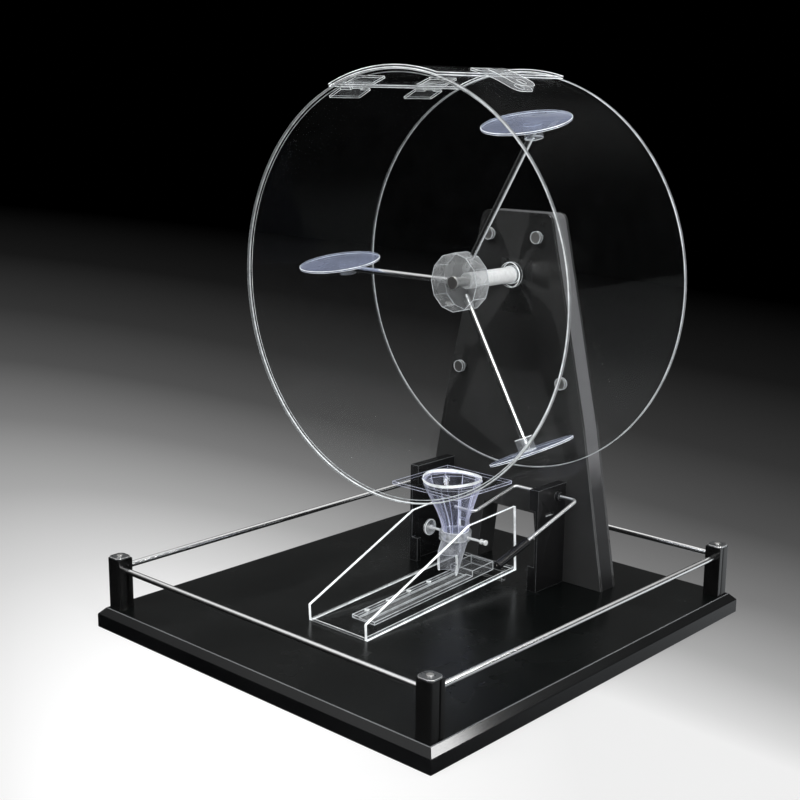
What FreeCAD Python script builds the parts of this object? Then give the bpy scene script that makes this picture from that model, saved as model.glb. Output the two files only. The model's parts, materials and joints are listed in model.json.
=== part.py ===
import FreeCAD, Part
import Sketcher
import math
import os

# Raffle drum: a fixed clear drum on a black tower, with a motor-driven rotor of three paddles,
# a hinged filling lid, a crank-worked ball gate under the drum and a clear catching tray.
# Axes: +X to the right, +Y to the back, +Z up.  The origin is at the middle of the base's underside.

V = FreeCAD.Vector
doc = FreeCAD.newDocument("raffle_drum")
sheet = doc.addObject("Spreadsheet::Sheet", "sizes")
NAMED = {}


class Term:
    """A size that knows its number and the sheet formula it comes from."""

    def __init__(self, value, text):
        self.value = value
        self.text = text

    def __add__(self, other):
        other = term(other)
        return Term(self.value + other.value, "(" + self.text + " + " + other.text + ")")

    def __sub__(self, other):
        other = term(other)
        return Term(self.value - other.value, "(" + self.text + " - " + other.text + ")")

    def __mul__(self, other):
        other = term(other)
        return Term(self.value * other.value, "(" + self.text + " * " + other.text + ")")

    def __truediv__(self, other):
        other = term(other)
        return Term(self.value / other.value, "(" + self.text + " / " + other.text + ")")

    def __neg__(self):
        return Term(-self.value, "(0 - " + self.text + ")")

    __radd__ = __add__
    __rmul__ = __mul__


def term(number):
    """Turns a plain number into a Term, and leaves a Term as it is."""
    return number if isinstance(number, Term) else Term(float(number), repr(float(number)))


def cos(angle):
    return Term(math.cos(math.radians(angle.value)), "cos(" + angle.text + " * 1 deg)")


def sin(angle):
    return Term(math.sin(math.radians(angle.value)), "sin(" + angle.text + " * 1 deg)")


def root(number):
    return Term(math.sqrt(number.value), "sqrt(" + number.text + ")")


def size(alias, number):
    """Writes one driving dimension (millimetres or degrees) to the sheet and returns it as a Term."""
    row = len(NAMED) + 1
    sheet.set("A" + str(row), alias)
    sheet.set("B" + str(row), str(number))
    sheet.setAlias("B" + str(row), alias)
    NAMED[alias] = Term(float(number), "sizes." + alias)
    return NAMED[alias]


# Base board and guard rail
base_width = size("base_width", 450)
base_depth = size("base_depth", 490)
base_side = size("base_side", 13.8)
bevel_rise = size("bevel_rise", 6.9)
bevel_inset = size("bevel_inset", 6.6)
post_side = size("post_side", 17.5)
post_tall = size("post_tall", 53)
post_edge_gap = size("post_edge_gap", 2)
post_ridge = size("post_ridge", 11)
post_groove_wide = size("post_groove_wide", 1.8)
post_groove_deep = size("post_groove_deep", 1.5)
post_round = size("post_round", 2.4)
cap_thick = size("cap_thick", 1.6)
cap_screw_bore = size("cap_screw_bore", 3)
cap_screw_wide = size("cap_screw_wide", 6.5)
cap_screw_head = size("cap_screw_head", 1.2)
cap_screw_long = size("cap_screw_long", 14)
rail_wide = size("rail_wide", 6)
rail_drop = size("rail_drop", 11)
rail_inset = size("rail_inset", 7.6)
rail_seat = size("rail_seat", 5)

# Drum
machine_shift = size("machine_shift", -6)
drum_outer = size("drum_outer", 208.5)
drum_wall_thick = size("drum_wall_thick", 3)
drum_deep = size("drum_deep", 194)
front_plate_thick = size("front_plate_thick", 4.5)
rear_plate_thick = size("rear_plate_thick", 4)
drum_clearance = size("drum_clearance", 116.6)
lid_start_angle = size("lid_start_angle", 75)
lid_sweep = size("lid_sweep", 38.5)
lid_gap = size("lid_gap", 0.5)
lid_thick = size("lid_thick", 3)
lid_seat_gap = size("lid_seat_gap", 0.3)
lid_lap = size("lid_lap", 2.7)
drum_screw_wide = size("drum_screw_wide", 12.5)
drum_screw_head = size("drum_screw_head", 4)
drum_screw_bore = size("drum_screw_bore", 5)
drum_screw_long = size("drum_screw_long", 16)
screw_x_top = size("screw_x_top", 31.5)
screw_rise_top = size("screw_rise_top", 41.5)
screw_x_low = size("screw_x_low", 69)
screw_drop_low = size("screw_drop_low", 108)

# Tower
tower_rear_margin = size("tower_rear_margin", 71.6)
tower_deep = size("tower_deep", 27.4)
tower_wall = size("tower_wall", 3.5)
tower_top_half = size("tower_top_half", 45)
tower_knee_half = size("tower_knee_half", 95)
tower_foot_half = size("tower_foot_half", 125.5)
tower_top_rise = size("tower_top_rise", 66)
tower_knee_rise = size("tower_knee_rise", 172)
tower_round = size("tower_round", 9)
arch_top_half = size("arch_top_half", 34.5)
arch_foot_half = size("arch_foot_half", 42.5)
arch_rise = size("arch_rise", 67.3)
tower_screw_wide = size("tower_screw_wide", 6)
tower_screw_head = size("tower_screw_head", 1.6)
tower_screw_bore = size("tower_screw_bore", 3)
tower_screw_long = size("tower_screw_long", 9)

# Drive
gearbox_wide = size("gearbox_wide", 42)
gearbox_tall = size("gearbox_tall", 58)
gearbox_below = size("gearbox_below", 16)
motor_wide = size("motor_wide", 19)
motor_long = size("motor_long", 46)
socket_wide = size("socket_wide", 15)
socket_tall = size("socket_tall", 12)
socket_reach = size("socket_reach", 13)
socket_hole = size("socket_hole", 8)
switch_wide = size("switch_wide", 13)
switch_tall = size("switch_tall", 19)
switch_reach = size("switch_reach", 15)
switch_rim = size("switch_rim", 2)
rocker_play = size("rocker_play", 0.4)
panel_fittings_rise = size("panel_fittings_rise", 105)
panel_fittings_gap = size("panel_fittings_gap", 44)

# Rotor
hub_radius = size("hub_radius", 30)
hub_long = size("hub_long", 20)
hub_back_of_middle = size("hub_back_of_middle", 6.3)
hub_sides = 12
shaft_wide = size("shaft_wide", 10)
shaft_head_wide = size("shaft_head_wide", 13)
shaft_head_long = size("shaft_head_long", 2)
shaft_in_gearbox = size("shaft_in_gearbox", 12)
shaft_play = size("shaft_play", 0.05)
sleeve_wide = size("sleeve_wide", 17)
sleeve_end_gap = size("sleeve_end_gap", 1.2)
flange_wide = size("flange_wide", 27)
flange_thick = size("flange_thick", 5)
flange_play = size("flange_play", 0.5)
arm_wide = size("arm_wide", 6.5)
arm_root = size("arm_root", 15)
paddle_radius = size("paddle_radius", 44)
paddle_thick = size("paddle_thick", 2.2)
paddle_rise = size("paddle_rise", 8)
rim_gap_left = size("rim_gap_left", 1.5)
rim_gap_upper = size("rim_gap_upper", 0.7)
rim_gap_lower = size("rim_gap_lower", 2.1)
clamp_radius = size("clamp_radius", 9)
clamp_below = size("clamp_below", 6)

# Lid hinges and latch
hinge_half_spacing = size("hinge_half_spacing", 55)
hinge_wide = size("hinge_wide", 42)
hinge_leaf_long = size("hinge_leaf_long", 20)
hinge_leaf_thick = size("hinge_leaf_thick", 2)
hinge_barrel = size("hinge_barrel", 2.4)
hinge_lift = size("hinge_lift", 2.8)
hinge_pin_wide = size("hinge_pin_wide", 2)
hinge_play = size("hinge_play", 0.05)
hinge_knuckle = size("hinge_knuckle", 14)
hinge_knuckle_gap = size("hinge_knuckle_gap", 0.4)
hinge_past_edge = size("hinge_past_edge", 0.8)
latch_from_front = size("latch_from_front", 76.5)
latch_wide = size("latch_wide", 31)
latch_thick = size("latch_thick", 5.4)
latch_lift = size("latch_lift", 3.5)
latch_past_edge = size("latch_past_edge", 1.1)
latch_sweep = size("latch_sweep", 11.4)
latch_hole_from_end = size("latch_hole_from_end", 2.5)
latch_hole_wide = size("latch_hole_wide", 10)
latch_corner = size("latch_corner", 10)
latch_barrel = size("latch_barrel", 2.9)
latch_foot_long = size("latch_foot_long", 12)
stud_wide = size("stud_wide", 5)
stud_tall = size("stud_tall", 7.5)

# Outlet
outlet_radius = size("outlet_radius", 28.5)
ball_hole_ledge = size("ball_hole_ledge", 2.5)
ball_wide = size("ball_wide", 22)
outlet_wall = size("outlet_wall", 1.6)
flange_side = size("flange_side", 88)
outlet_flange_thick = size("outlet_flange_thick", 3)
neck_back = size("neck_back", 6.6)
neck_play = size("neck_play", 1.9)
neck_rise = size("neck_rise", 63)
neck_long = size("neck_long", 11)
collar_wall = size("collar_wall", 3)
collar_long = size("collar_long", 9)
collar_rise = size("collar_rise", 52.2)
spout_tilt = size("spout_tilt", 26)
spout_full_long = size("spout_full_long", 13)
spout_long = size("spout_long", 41)
stay_wide = size("stay_wide", 2.6)
stay_nut_wide = size("stay_nut_wide", 5.6)
stay_nut_long = size("stay_nut_long", 2.2)
disc_wide = size("disc_wide", 17.5)
disc_thick = size("disc_thick", 2.5)

# Tray
tray_wide = size("tray_wide", 80)
tray_long = size("tray_long", 231)
tray_ahead = size("tray_ahead", 71.5)
tray_pitch = size("tray_pitch", 3.1)
tray_sheet = size("tray_sheet", 3)
tray_front_tall = size("tray_front_tall", 17)
tray_rear_tall = size("tray_rear_tall", 72.4)
tray_flat_long = size("tray_flat_long", 76)
ramp_off_centre = size("ramp_off_centre", 9)
ramp_wide = size("ramp_wide", 30)
ramp_start = size("ramp_start", 27)
ramp_long = size("ramp_long", 184)
ramp_thick = size("ramp_thick", 3)
ramp_groove_wide = size("ramp_groove_wide", 12)
ramp_groove_deep = size("ramp_groove_deep", 1.4)
stop_block_gap = size("stop_block_gap", 1.5)
stop_block_tall = size("stop_block_tall", 6)
ramp_screw_wide = size("ramp_screw_wide", 5)
ramp_screw_head = size("ramp_screw_head", 1.6)
ramp_screw_pitch = size("ramp_screw_pitch", 31)
prop_wide = size("prop_wide", 60)
prop_thick = size("prop_thick", 6)

# Crank stand
cheek_thick = size("cheek_thick", 3.2)
cheek_reach_right = size("cheek_reach_right", 76.7)
cheek_reach_left = size("cheek_reach_left", 90)
cheek_deep_right = size("cheek_deep_right", 49)
cheek_deep_left = size("cheek_deep_left", 62)
cheek_tall = size("cheek_tall", 110.8)
block_thick = size("block_thick", 8.3)
block_tall = size("block_tall", 22.5)
cheek_foot_tall = size("cheek_foot_tall", 27)
cheek_foot_deep = size("cheek_foot_deep", 6)
slot_long = size("slot_long", 13)
slot_tall = size("slot_tall", 3.2)
slot_rise = size("slot_rise", 80)
slot_back = size("slot_back", 14)
boss_wide = size("boss_wide", 9)
boss_long = size("boss_long", 4.5)

# Crank
crank_wide = size("crank_wide", 3.6)
crank_play = size("crank_play", 0.08)
crank_axis_ahead = size("crank_axis_ahead", 16)
crank_axis_rise = size("crank_axis_rise", 99.1)
crank_inner_long = size("crank_inner_long", 70.5)
crank_inner_dip = size("crank_inner_dip", 11.7)
crank_outer_long = size("crank_outer_long", 135)
crank_outer_dip = size("crank_outer_dip", 16.1)
crank_inner_x = size("crank_inner_x", 21)
crank_outer_x = size("crank_outer_x", 101.5)
crank_stub_end = size("crank_stub_end", -5)
crank_bend = size("crank_bend", 5)
crank_travel = size("crank_travel", 17)
gate_slot_play = size("gate_slot_play", 1.1)
grip_wide = size("grip_wide", 8.5)
grip_long = size("grip_long", 47.5)

doc.recompute()

# Places worked out from the driving dimensions
base_top = base_side + bevel_rise
centre_x = machine_shift
axis_z = base_top + drum_clearance + drum_outer
drum_inner = drum_outer - drum_wall_thick
tower_back = base_depth / 2 - tower_rear_margin
tower_front = tower_back - tower_deep
drum_back = tower_front
drum_front = drum_back - drum_deep
room_front = drum_front + front_plate_thick
room_back = drum_back - rear_plate_thick
room_middle = (room_front + room_back) / 2
hub_y = room_middle + hub_back_of_middle
tower_top = axis_z + tower_top_rise
lid_end_angle = lid_start_angle + lid_sweep
lid_low = lid_seat_gap
lid_top = lid_seat_gap + lid_thick
drum_bottom = base_top + drum_clearance
tray_front = drum_front - tray_ahead
cheek_front_right = tower_front - cheek_deep_right
cheek_front_left = tower_front - cheek_deep_left
crank_axis_y = tower_front - crank_axis_ahead


def bind(thing, **formulas):
    """Ties properties of an object to the sheet; a double underscore stands for a dot."""
    for name, formula in formulas.items():
        thing.setExpression(name.replace("__", "."), term(formula).text)
    return thing


def place(thing, x=0, y=0, z=0, turn=None):
    """Puts an object at sheet-driven coordinates, with an optional fixed rotation."""
    if turn is not None:
        thing.Placement = FreeCAD.Placement(V(0, 0, 0), turn)
    return bind(thing, Placement__Base__x=x, Placement__Base__y=y, Placement__Base__z=z)


ALONG_X = FreeCAD.Rotation(V(0, 1, 0), 90)
ALONG_Y = FreeCAD.Rotation(V(1, 0, 0), -90)
counter = [0]


def fresh(kind, purpose):
    """Adds a document object with a unique internal name."""
    counter[0] += 1
    return doc.addObject(kind, purpose + "_" + str(counter[0]))


def box(x, y, z, long_x, long_y, long_z):
    made = bind(fresh("Part::Box", "box"), Length=long_x, Width=long_y, Height=long_z)
    return place(made, x, y, z)


def rod(x, y, z, radius, long, turn=None):
    """A cylinder from the given point, along +Z unless turned."""
    made = bind(fresh("Part::Cylinder", "rod"), Radius=radius, Height=long)
    return place(made, x, y, z, turn)


def sector(radius, start_y, long, first_angle, sweep):
    """A wedge of a disc round the drum axis, from first_angle down through sweep degrees."""
    made = bind(fresh("Part::Cylinder", "sector"), Radius=radius, Height=long, Angle=sweep)
    turn = ALONG_Y.multiply(FreeCAD.Rotation(V(0, 0, 1), -first_angle.value))
    return place(made, centre_x, start_y, axis_z, turn)


def cut(base, *tools):
    made = base
    for tool in tools:
        step = fresh("Part::Cut", "cut")
        step.Base = made
        step.Tool = tool
        made = step
    return made


def fuse(*pieces):
    made = fresh("Part::MultiFuse", "fuse")
    made.Shapes = list(pieces)
    made.Refine = True
    return made


def common(first, second):
    made = fresh("Part::MultiCommon", "common")
    made.Shapes = [first, second]
    return made


def group(*pieces):
    """Several separate solids kept as one node."""
    made = fresh("Part::Compound", "group")
    made.Links = list(pieces)
    return made


NODES = {}


def node(name, thing):
    """Registers a finished sub-part under the name of its file."""
    thing.Label = name
    NODES[name] = thing
    return thing


def plane_of(body, role):
    return [f for f in body.Origin.OriginFeatures if f.Role == role][0]


def plate(purpose, role, start, thick, outline, holes=(), back=False):
    """A PartDesign body: a straight-sided outline with round holes, padded to a thickness.

    outline holds (across, up) pairs and holes holds (across, up, radius), all of them Terms.
    """
    body = fresh("PartDesign::Body", purpose)
    sketch = body.newObject("Sketcher::SketchObject", purpose + "_outline_" + str(counter[0]))
    sketch.AttachmentSupport = (plane_of(body, role), [""])
    sketch.MapMode = "FlatFace"
    bind(sketch, AttachmentOffset__Base__z=start)
    points = [(term(a), term(b)) for a, b in outline]
    last = len(points)
    for i in range(last):
        a = points[i]
        b = points[(i + 1) % last]
        sketch.addGeometry(Part.LineSegment(V(a[0].value, a[1].value, 0), V(b[0].value, b[1].value, 0)))
    for i in range(last):
        sketch.addConstraint(Sketcher.Constraint("Coincident", i, 2, (i + 1) % last, 1))
    for i in range(last):
        fix_point(sketch, i, 1, points[i])
    for a, b, radius in holes:
        a, b, radius = term(a), term(b), term(radius)
        circle = Part.Circle(V(a.value, b.value, 0), V(0, 0, 1), radius.value)
        ring = sketch.addGeometry(circle)
        fix_point(sketch, ring, 3, (a, b))
        index = sketch.addConstraint(Sketcher.Constraint("Radius", ring, radius.value))
        sketch.setExpression("Constraints[" + str(index) + "]", radius.text)
    pad = body.newObject("PartDesign::Pad", purpose + "_pad_" + str(counter[0]))
    pad.Profile = sketch
    pad.Reversed = back
    bind(pad, Length=thick)
    body.Tip = pad
    return body


def fix_point(sketch, geometry, end, point):
    """Ties one point of a sketch to two sheet formulas, measured from the sketch origin."""
    for kind, formula in (("DistanceX", point[0]), ("DistanceY", point[1])):
        index = sketch.addConstraint(Sketcher.Constraint(kind, -1, 1, geometry, end, formula.value))
        sketch.setExpression("Constraints[" + str(index) + "]", formula.text)


def soften(body, radius, along, wanted):
    """Rounds the edges of a body that run in the direction 'along' and satisfy the test 'wanted'."""
    doc.recompute()
    tip = body.Tip
    names = []
    for i, edge in enumerate(tip.Shape.Edges):
        ends = [v.Point for v in edge.Vertexes]
        if len(ends) != 2 or (ends[1] - ends[0]).cross(along).Length > 0.001:
            continue
        if wanted(ends[0]):
            names.append("Edge" + str(i + 1))
    fillet = body.newObject("PartDesign::Fillet", "soften_" + str(counter[0]))
    fillet.Base = (tip, names)
    bind(fillet, Radius=radius)
    body.Tip = fillet
    return body


def near(a, b, slack=0.05):
    return abs(a - term(b).value) < slack


# ---------------------------------------------------------------- base board
def base_board():
    """A rectangular board whose top edge is bevelled: a straight slab under a tapering one."""
    slab = box(-base_width / 2, -base_depth / 2, 0, base_width, base_depth, base_side)
    taper = fresh("Part::Wedge", "taper")
    bind(taper, Xmin=-base_width / 2, Xmax=base_width / 2, Zmin=-base_depth / 2, Zmax=base_depth / 2)
    bind(taper, X2min=-base_width / 2 + bevel_inset, X2max=base_width / 2 - bevel_inset)
    bind(taper, Z2min=-base_depth / 2 + bevel_inset, Z2max=base_depth / 2 - bevel_inset)
    bind(taper, Ymin=0, Ymax=bevel_rise)
    place(taper, 0, 0, base_side, FreeCAD.Rotation(V(1, 0, 0), 90))
    return node("base_board", fuse(slab, taper))


base_board()

# ---------------------------------------------------------------- corner posts, caps and rails
post_outer_x = base_width / 2 - bevel_inset - post_edge_gap
post_outer_y = base_depth / 2 - bevel_inset - post_edge_gap
post_mid_x = post_outer_x - post_side / 2
post_mid_y = post_outer_y - post_side / 2
rail_z = base_top + post_tall - rail_drop
rail_x = post_outer_x - rail_inset
rail_y = post_outer_y - rail_inset
CORNERS = {
    "front_left": (-1, -1),
    "front_right": (1, -1),
    "rear_left": (-1, 1),
    "rear_right": (1, 1),
}


def corner_post(name, sx, sy):
    """An upright bar with a groove down each side face and a rounded outer ridge."""
    ox = post_outer_x * sx
    oy = post_outer_y * sy
    ix = (post_outer_x - post_side) * sx
    iy = (post_outer_y - post_side) * sy
    g0 = (post_outer_y - post_ridge) * sy
    g1 = (post_outer_y - post_ridge - post_groove_wide) * sy
    deep = post_groove_deep * sx
    outline = [
        (ix, oy), (ox, oy), (ox, g0), (ox - deep, (g0 + g1) / 2), (ox, g1), (ox, iy),
        (ix, iy), (ix, g1), (ix + deep, (g0 + g1) / 2), (ix, g0),
    ]
    body = plate("post", "XY_Plane", base_top, post_tall, outline)

    def ridge(p):
        return (near(p.x, ox) or near(p.x, ix)) and (near(p.y, oy) or near(p.y, g0))

    soften(body, post_round, V(0, 0, 1), ridge)
    seat_x = rod(post_mid_x * sx, rail_y * sy, rail_z, rail_wide / 2, post_side, ALONG_X)
    reach = post_outer_x - post_side if sx > 0 else -post_outer_x + post_side - rail_seat
    bind(seat_x, Placement__Base__x=reach, Height=rail_seat)
    seat_y = rod(rail_x * sx, 0, rail_z, rail_wide / 2, rail_seat, ALONG_Y)
    reach = post_outer_y - post_side if sy > 0 else -post_outer_y + post_side - rail_seat
    bind(seat_y, Placement__Base__y=reach)
    hole_z = base_top + post_tall + cap_thick - cap_screw_long
    screw = rod(post_mid_x * sx, post_mid_y * sy, hole_z, cap_screw_bore / 2, cap_screw_long)
    return node("corner_post_" + name, cut(body, seat_x, seat_y, screw))


def post_cap(sx, sy):
    """A thin end plate on a post, bored for its screw."""
    low_x = post_outer_x - post_side if sx > 0 else -post_outer_x
    low_y = post_outer_y - post_side if sy > 0 else -post_outer_y
    slab = box(low_x, low_y, base_top + post_tall, post_side, post_side, cap_thick)
    trim = post_side - post_round
    disc = rod(post_mid_x * sx, post_mid_y * sy, base_top + post_tall, trim * 0.66, cap_thick)
    rounded = common(slab, disc)
    bore = rod(post_mid_x * sx, post_mid_y * sy, base_top + post_tall, cap_screw_bore / 2, cap_thick)
    return cut(rounded, bore)


def cap_screw(sx, sy):
    top = base_top + post_tall + cap_thick
    shank = rod(post_mid_x * sx, post_mid_y * sy, top - cap_screw_long, cap_screw_bore / 2, cap_screw_long)
    head = rod(post_mid_x * sx, post_mid_y * sy, top, cap_screw_wide / 2, cap_screw_head)
    return fuse(shank, head)


for name, (sx, sy) in CORNERS.items():
    corner_post(name, sx, sy)
node("post_caps", group(*[post_cap(sx, sy) for sx, sy in CORNERS.values()]))
node("post_cap_screws", group(*[cap_screw(sx, sy) for sx, sy in CORNERS.values()]))

span_x = (post_outer_x - post_side + rail_seat) * 2
span_y = (post_outer_y - post_side + rail_seat) * 2
for name, side in (("front", -1), ("rear", 1)):
    node("rail_" + name, rod(-span_x / 2, rail_y * side, rail_z, rail_wide / 2, span_x, ALONG_X))
for name, side in (("left", -1), ("right", 1)):
    node("rail_" + name, rod(rail_x * side, -span_y / 2, rail_z, rail_wide / 2, span_y, ALONG_Y))


# ---------------------------------------------------------------- drum
SCREW_SPOTS = [
    (-screw_x_top, screw_rise_top),
    (screw_x_top, screw_rise_top),
    (-screw_x_low, -screw_drop_low),
    (screw_x_low, -screw_drop_low),
]


def drum_screw_bores(start, long):
    """Cutting rods for the four screws that hold the drum to the tower."""
    bore = drum_screw_bore / 2
    return [rod(centre_x + dx, start, axis_z + dz, bore, long, ALONG_Y) for dx, dz in SCREW_SPOTS]


node("drum_front_plate", rod(centre_x, drum_front, axis_z, drum_outer, front_plate_thick, ALONG_Y))
rear_disc = rod(centre_x, room_back, axis_z, drum_outer, rear_plate_thick, ALONG_Y)
shaft_hole = rod(centre_x, room_back, axis_z, shaft_wide / 2 + 1, rear_plate_thick, ALONG_Y)
node("drum_rear_plate", cut(rear_disc, shaft_hole, *drum_screw_bores(room_back, rear_plate_thick)))

room_deep = room_back - room_front
wall_outer = rod(centre_x, room_front, axis_z, drum_outer, room_deep, ALONG_Y)
wall_inner = rod(centre_x, room_front, axis_z, drum_inner, room_deep, ALONG_Y)
window_first = lid_end_angle - lid_lap
lid_window = sector(drum_outer * 2, room_front, room_deep, window_first, lid_sweep - lid_lap * 2)
hole_radius = outlet_radius + ball_hole_ledge
ball_hole = rod(centre_x, room_middle, drum_bottom - drum_wall_thick, hole_radius, drum_wall_thick * 8)
node("drum_wall", cut(wall_outer, wall_inner, lid_window, ball_hole))


def drum_screw(dx, dz):
    """A cap-headed screw from inside the drum through its rear plate into the tower."""
    shank = rod(centre_x + dx, room_back, axis_z + dz, drum_screw_bore / 2, drum_screw_long, ALONG_Y)
    start = room_back - drum_screw_head
    head = rod(centre_x + dx, start, axis_z + dz, drum_screw_wide / 2, drum_screw_head, ALONG_Y)
    return fuse(shank, head)


node("drum_screws", group(*[drum_screw(dx, dz) for dx, dz in SCREW_SPOTS]))

# ---------------------------------------------------------------- filling lid
# A curved sheet that lies on both plates' rims and laps over the edges of the wall's window.
lid_disc = sector(drum_outer + lid_top, drum_front, drum_deep - lid_gap, lid_end_angle, lid_sweep)
lid_core = rod(centre_x, drum_front, axis_z, drum_outer + lid_low, drum_deep, ALONG_Y)
node("filling_lid", cut(lid_disc, lid_core))


def on_rim(angle, radius):
    """The point (x, z) at an angle and radius round the drum axis."""
    return centre_x + cos(angle) * radius, axis_z + sin(angle) * radius


def seated_box(angle, along, start_y, long, wide_y, thick, lift=0):
    """A flat box lying on the drum's outside: along is measured past the angle, down the arc."""
    made = bind(fresh("Part::Box", "seated"), Length=long, Width=wide_y, Height=thick)
    turn = FreeCAD.Rotation(V(0, 1, 0), 90 - angle.value)
    radius = drum_outer + lift
    x = centre_x + cos(angle) * radius + sin(angle) * along
    z = axis_z + sin(angle) * radius - cos(angle) * along
    return place(made, x, start_y, z, turn)


def seated_rod(angle, along, y, radius, tall, lift=0):
    """A round peg that stands on the drum's outside, placed like seated_box."""
    turn = FreeCAD.Rotation(V(0, 1, 0), 90 - angle.value)
    reach = drum_outer + lift
    x = centre_x + cos(angle) * reach + sin(angle) * along
    z = axis_z + sin(angle) * reach - cos(angle) * along
    return rod(x, y, z, radius, tall, turn)


hinge_angle = lid_end_angle + hinge_past_edge
hinge_x, hinge_z = on_rim(hinge_angle, drum_outer + lid_top + hinge_lift)
leaf_turn = hinge_leaf_long / 2 / drum_outer * (180 / math.pi)


def hinge_leaf(middle_y, toward_lid):
    """One leaf: a flat plate seated on the lid or the wall, and its knuckles on the hinge axis.

    The lid's leaf carries the two outer knuckles and the wall's leaf the middle one, on a riser.
    """
    keep_off = hinge_barrel + 0.5
    start_y = middle_y - hinge_wide / 2
    knuckles = []
    if toward_lid:
        angle = hinge_angle - leaf_turn
        run = hinge_leaf_long - keep_off
        from_axis = -hinge_leaf_long / 2 + keep_off
        tab_from = -hinge_leaf_long / 2
        lift = lid_top
        riser = hinge_leaf_thick
        wide = (hinge_wide - hinge_knuckle) / 2 - hinge_knuckle_gap
        spans = [(start_y, wide), (start_y + hinge_wide - wide, wide)]
    else:
        angle = hinge_angle + leaf_turn
        run = hinge_leaf_long - keep_off
        from_axis = -hinge_leaf_long / 2
        tab_from = hinge_leaf_long / 2 - keep_off
        lift = term(0)
        riser = lid_top + hinge_lift
        spans = [(middle_y - hinge_knuckle / 2, hinge_knuckle)]
    pieces = [seated_box(angle, from_axis, start_y, run, hinge_wide, hinge_leaf_thick, lift)]
    bores = []
    for span_start, span_long in spans:
        pieces.append(seated_box(angle, tab_from, span_start, keep_off, span_long, riser, lift))
        pieces.append(rod(hinge_x, span_start, hinge_z, hinge_barrel, span_long, ALONG_Y))
        bores.append(rod(hinge_x, span_start, hinge_z, hinge_pin_wide / 2 + hinge_play, span_long, ALONG_Y))
    return cut(fuse(*pieces), *bores)


hinge_rows = [room_middle - hinge_half_spacing, room_middle + hinge_half_spacing]
node("hinge_lid_leaves", group(*[hinge_leaf(y, True) for y in hinge_rows]))
node("hinge_wall_leaves", group(*[hinge_leaf(y, False) for y in hinge_rows]))
pin_half = hinge_pin_wide / 2
pins = [rod(hinge_x, y - hinge_wide / 2, hinge_z, pin_half, hinge_wide, ALONG_Y) for y in hinge_rows]
node("hinge_pins", group(*pins))

# ---------------------------------------------------------------- latch
latch_pin_angle = lid_start_angle - latch_past_edge
latch_end_angle = latch_pin_angle - latch_sweep
latch_hole_angle = latch_end_angle + latch_hole_from_end
latch_x, latch_z = on_rim(latch_pin_angle, drum_outer + lid_top + latch_barrel + 0.2)
latch_mid = drum_front + latch_from_front
latch_y = latch_mid - latch_wide / 2
knuckle_long = latch_wide / 3 - hinge_knuckle_gap


def latch_base():
    """The lid's half of the latch: a foot on the lid and the middle knuckle with its pin."""
    keep_off = latch_barrel + 0.5
    foot_angle = latch_pin_angle + (latch_foot_long / 2 + keep_off) / drum_outer * (180 / math.pi)
    low = latch_foot_long / 2
    foot = seated_box(foot_angle, -low, latch_y, latch_foot_long, latch_wide, hinge_leaf_thick, lid_top)
    middle = latch_mid - knuckle_long / 2
    tab = seated_box(foot_angle, low, middle, keep_off, knuckle_long, hinge_leaf_thick, lid_top)
    barrel = rod(latch_x, middle, latch_z, latch_barrel, knuckle_long, ALONG_Y)
    pin = rod(latch_x, latch_y, latch_z, hinge_pin_wide / 2, latch_wide, ALONG_Y)
    return fuse(foot, tab, barrel, pin)


def latch_strap():
    """The hasp: a thick curved strap with two knuckles at the pin, a round-cornered free end
    and a hole for the stud."""
    inner = drum_outer + latch_lift
    over = term(2)
    arc = sector(inner + latch_thick, latch_y, latch_wide, latch_pin_angle, latch_sweep + over)
    core = rod(centre_x, latch_y, axis_z, inner, latch_wide, ALONG_Y)
    mid_angle = latch_pin_angle - latch_sweep / 2
    reach = sin(latch_sweep / 2) * (inner + latch_thick / 2)
    tall = latch_thick * 3
    corner_y = latch_y + latch_corner
    corner_run = reach - latch_corner
    plan = [
        seated_box(mid_angle, -reach * 1.3, latch_y, reach * 1.3 + corner_run, latch_wide, tall),
        seated_box(mid_angle, -reach, corner_y, reach * 2, latch_wide - latch_corner * 2, tall),
        seated_rod(mid_angle, corner_run, corner_y, latch_corner, tall),
        seated_rod(mid_angle, corner_run, latch_y + latch_wide - latch_corner, latch_corner, tall),
    ]
    strap = common(cut(arc, core), fuse(*plan))
    hole = seated_rod(latch_hole_angle, term(0), latch_mid, latch_hole_wide / 2, tall)
    knuckles = []
    for start in (latch_y, latch_y + latch_wide - knuckle_long):
        knuckles.append(rod(latch_x, start, latch_z, latch_barrel, knuckle_long, ALONG_Y))
    middle = latch_mid - knuckle_long / 2 - hinge_knuckle_gap
    gap = rod(latch_x, middle, latch_z, latch_barrel + 0.5, knuckle_long + hinge_knuckle_gap * 2, ALONG_Y)
    bore = rod(latch_x, latch_y, latch_z, hinge_pin_wide / 2 + hinge_play, latch_wide, ALONG_Y)
    return cut(fuse(cut(strap, gap), *knuckles), hole, bore)


def latch_stud():
    """A round stud on the drum wall that stands through the strap's hole."""
    sink = drum_wall_thick / 4
    stud = seated_rod(latch_hole_angle, term(0), latch_mid, stud_wide / 2, stud_tall + sink, -sink)
    wall = rod(centre_x, room_front, axis_z, drum_outer, room_deep, ALONG_Y)
    return cut(stud, wall)


node("latch_base", latch_base())
node("latch_strap", latch_strap())
node("latch_stud", latch_stud())

# ---------------------------------------------------------------- tower
knee_z = base_top + tower_knee_rise
arch_z = base_top + arch_rise


def tower_points(inset):
    """The tower's outline, moved in by an inset at the sides and the top, closed round the arch."""
    slant = term(1.02)
    side = inset * slant
    return [
        (centre_x - tower_foot_half + side, base_top),
        (centre_x - tower_knee_half + side, knee_z),
        (centre_x - tower_top_half + side, tower_top - inset),
        (centre_x + tower_top_half - side, tower_top - inset),
        (centre_x + tower_knee_half - side, knee_z),
        (centre_x + tower_foot_half - side, base_top),
    ]


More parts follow.
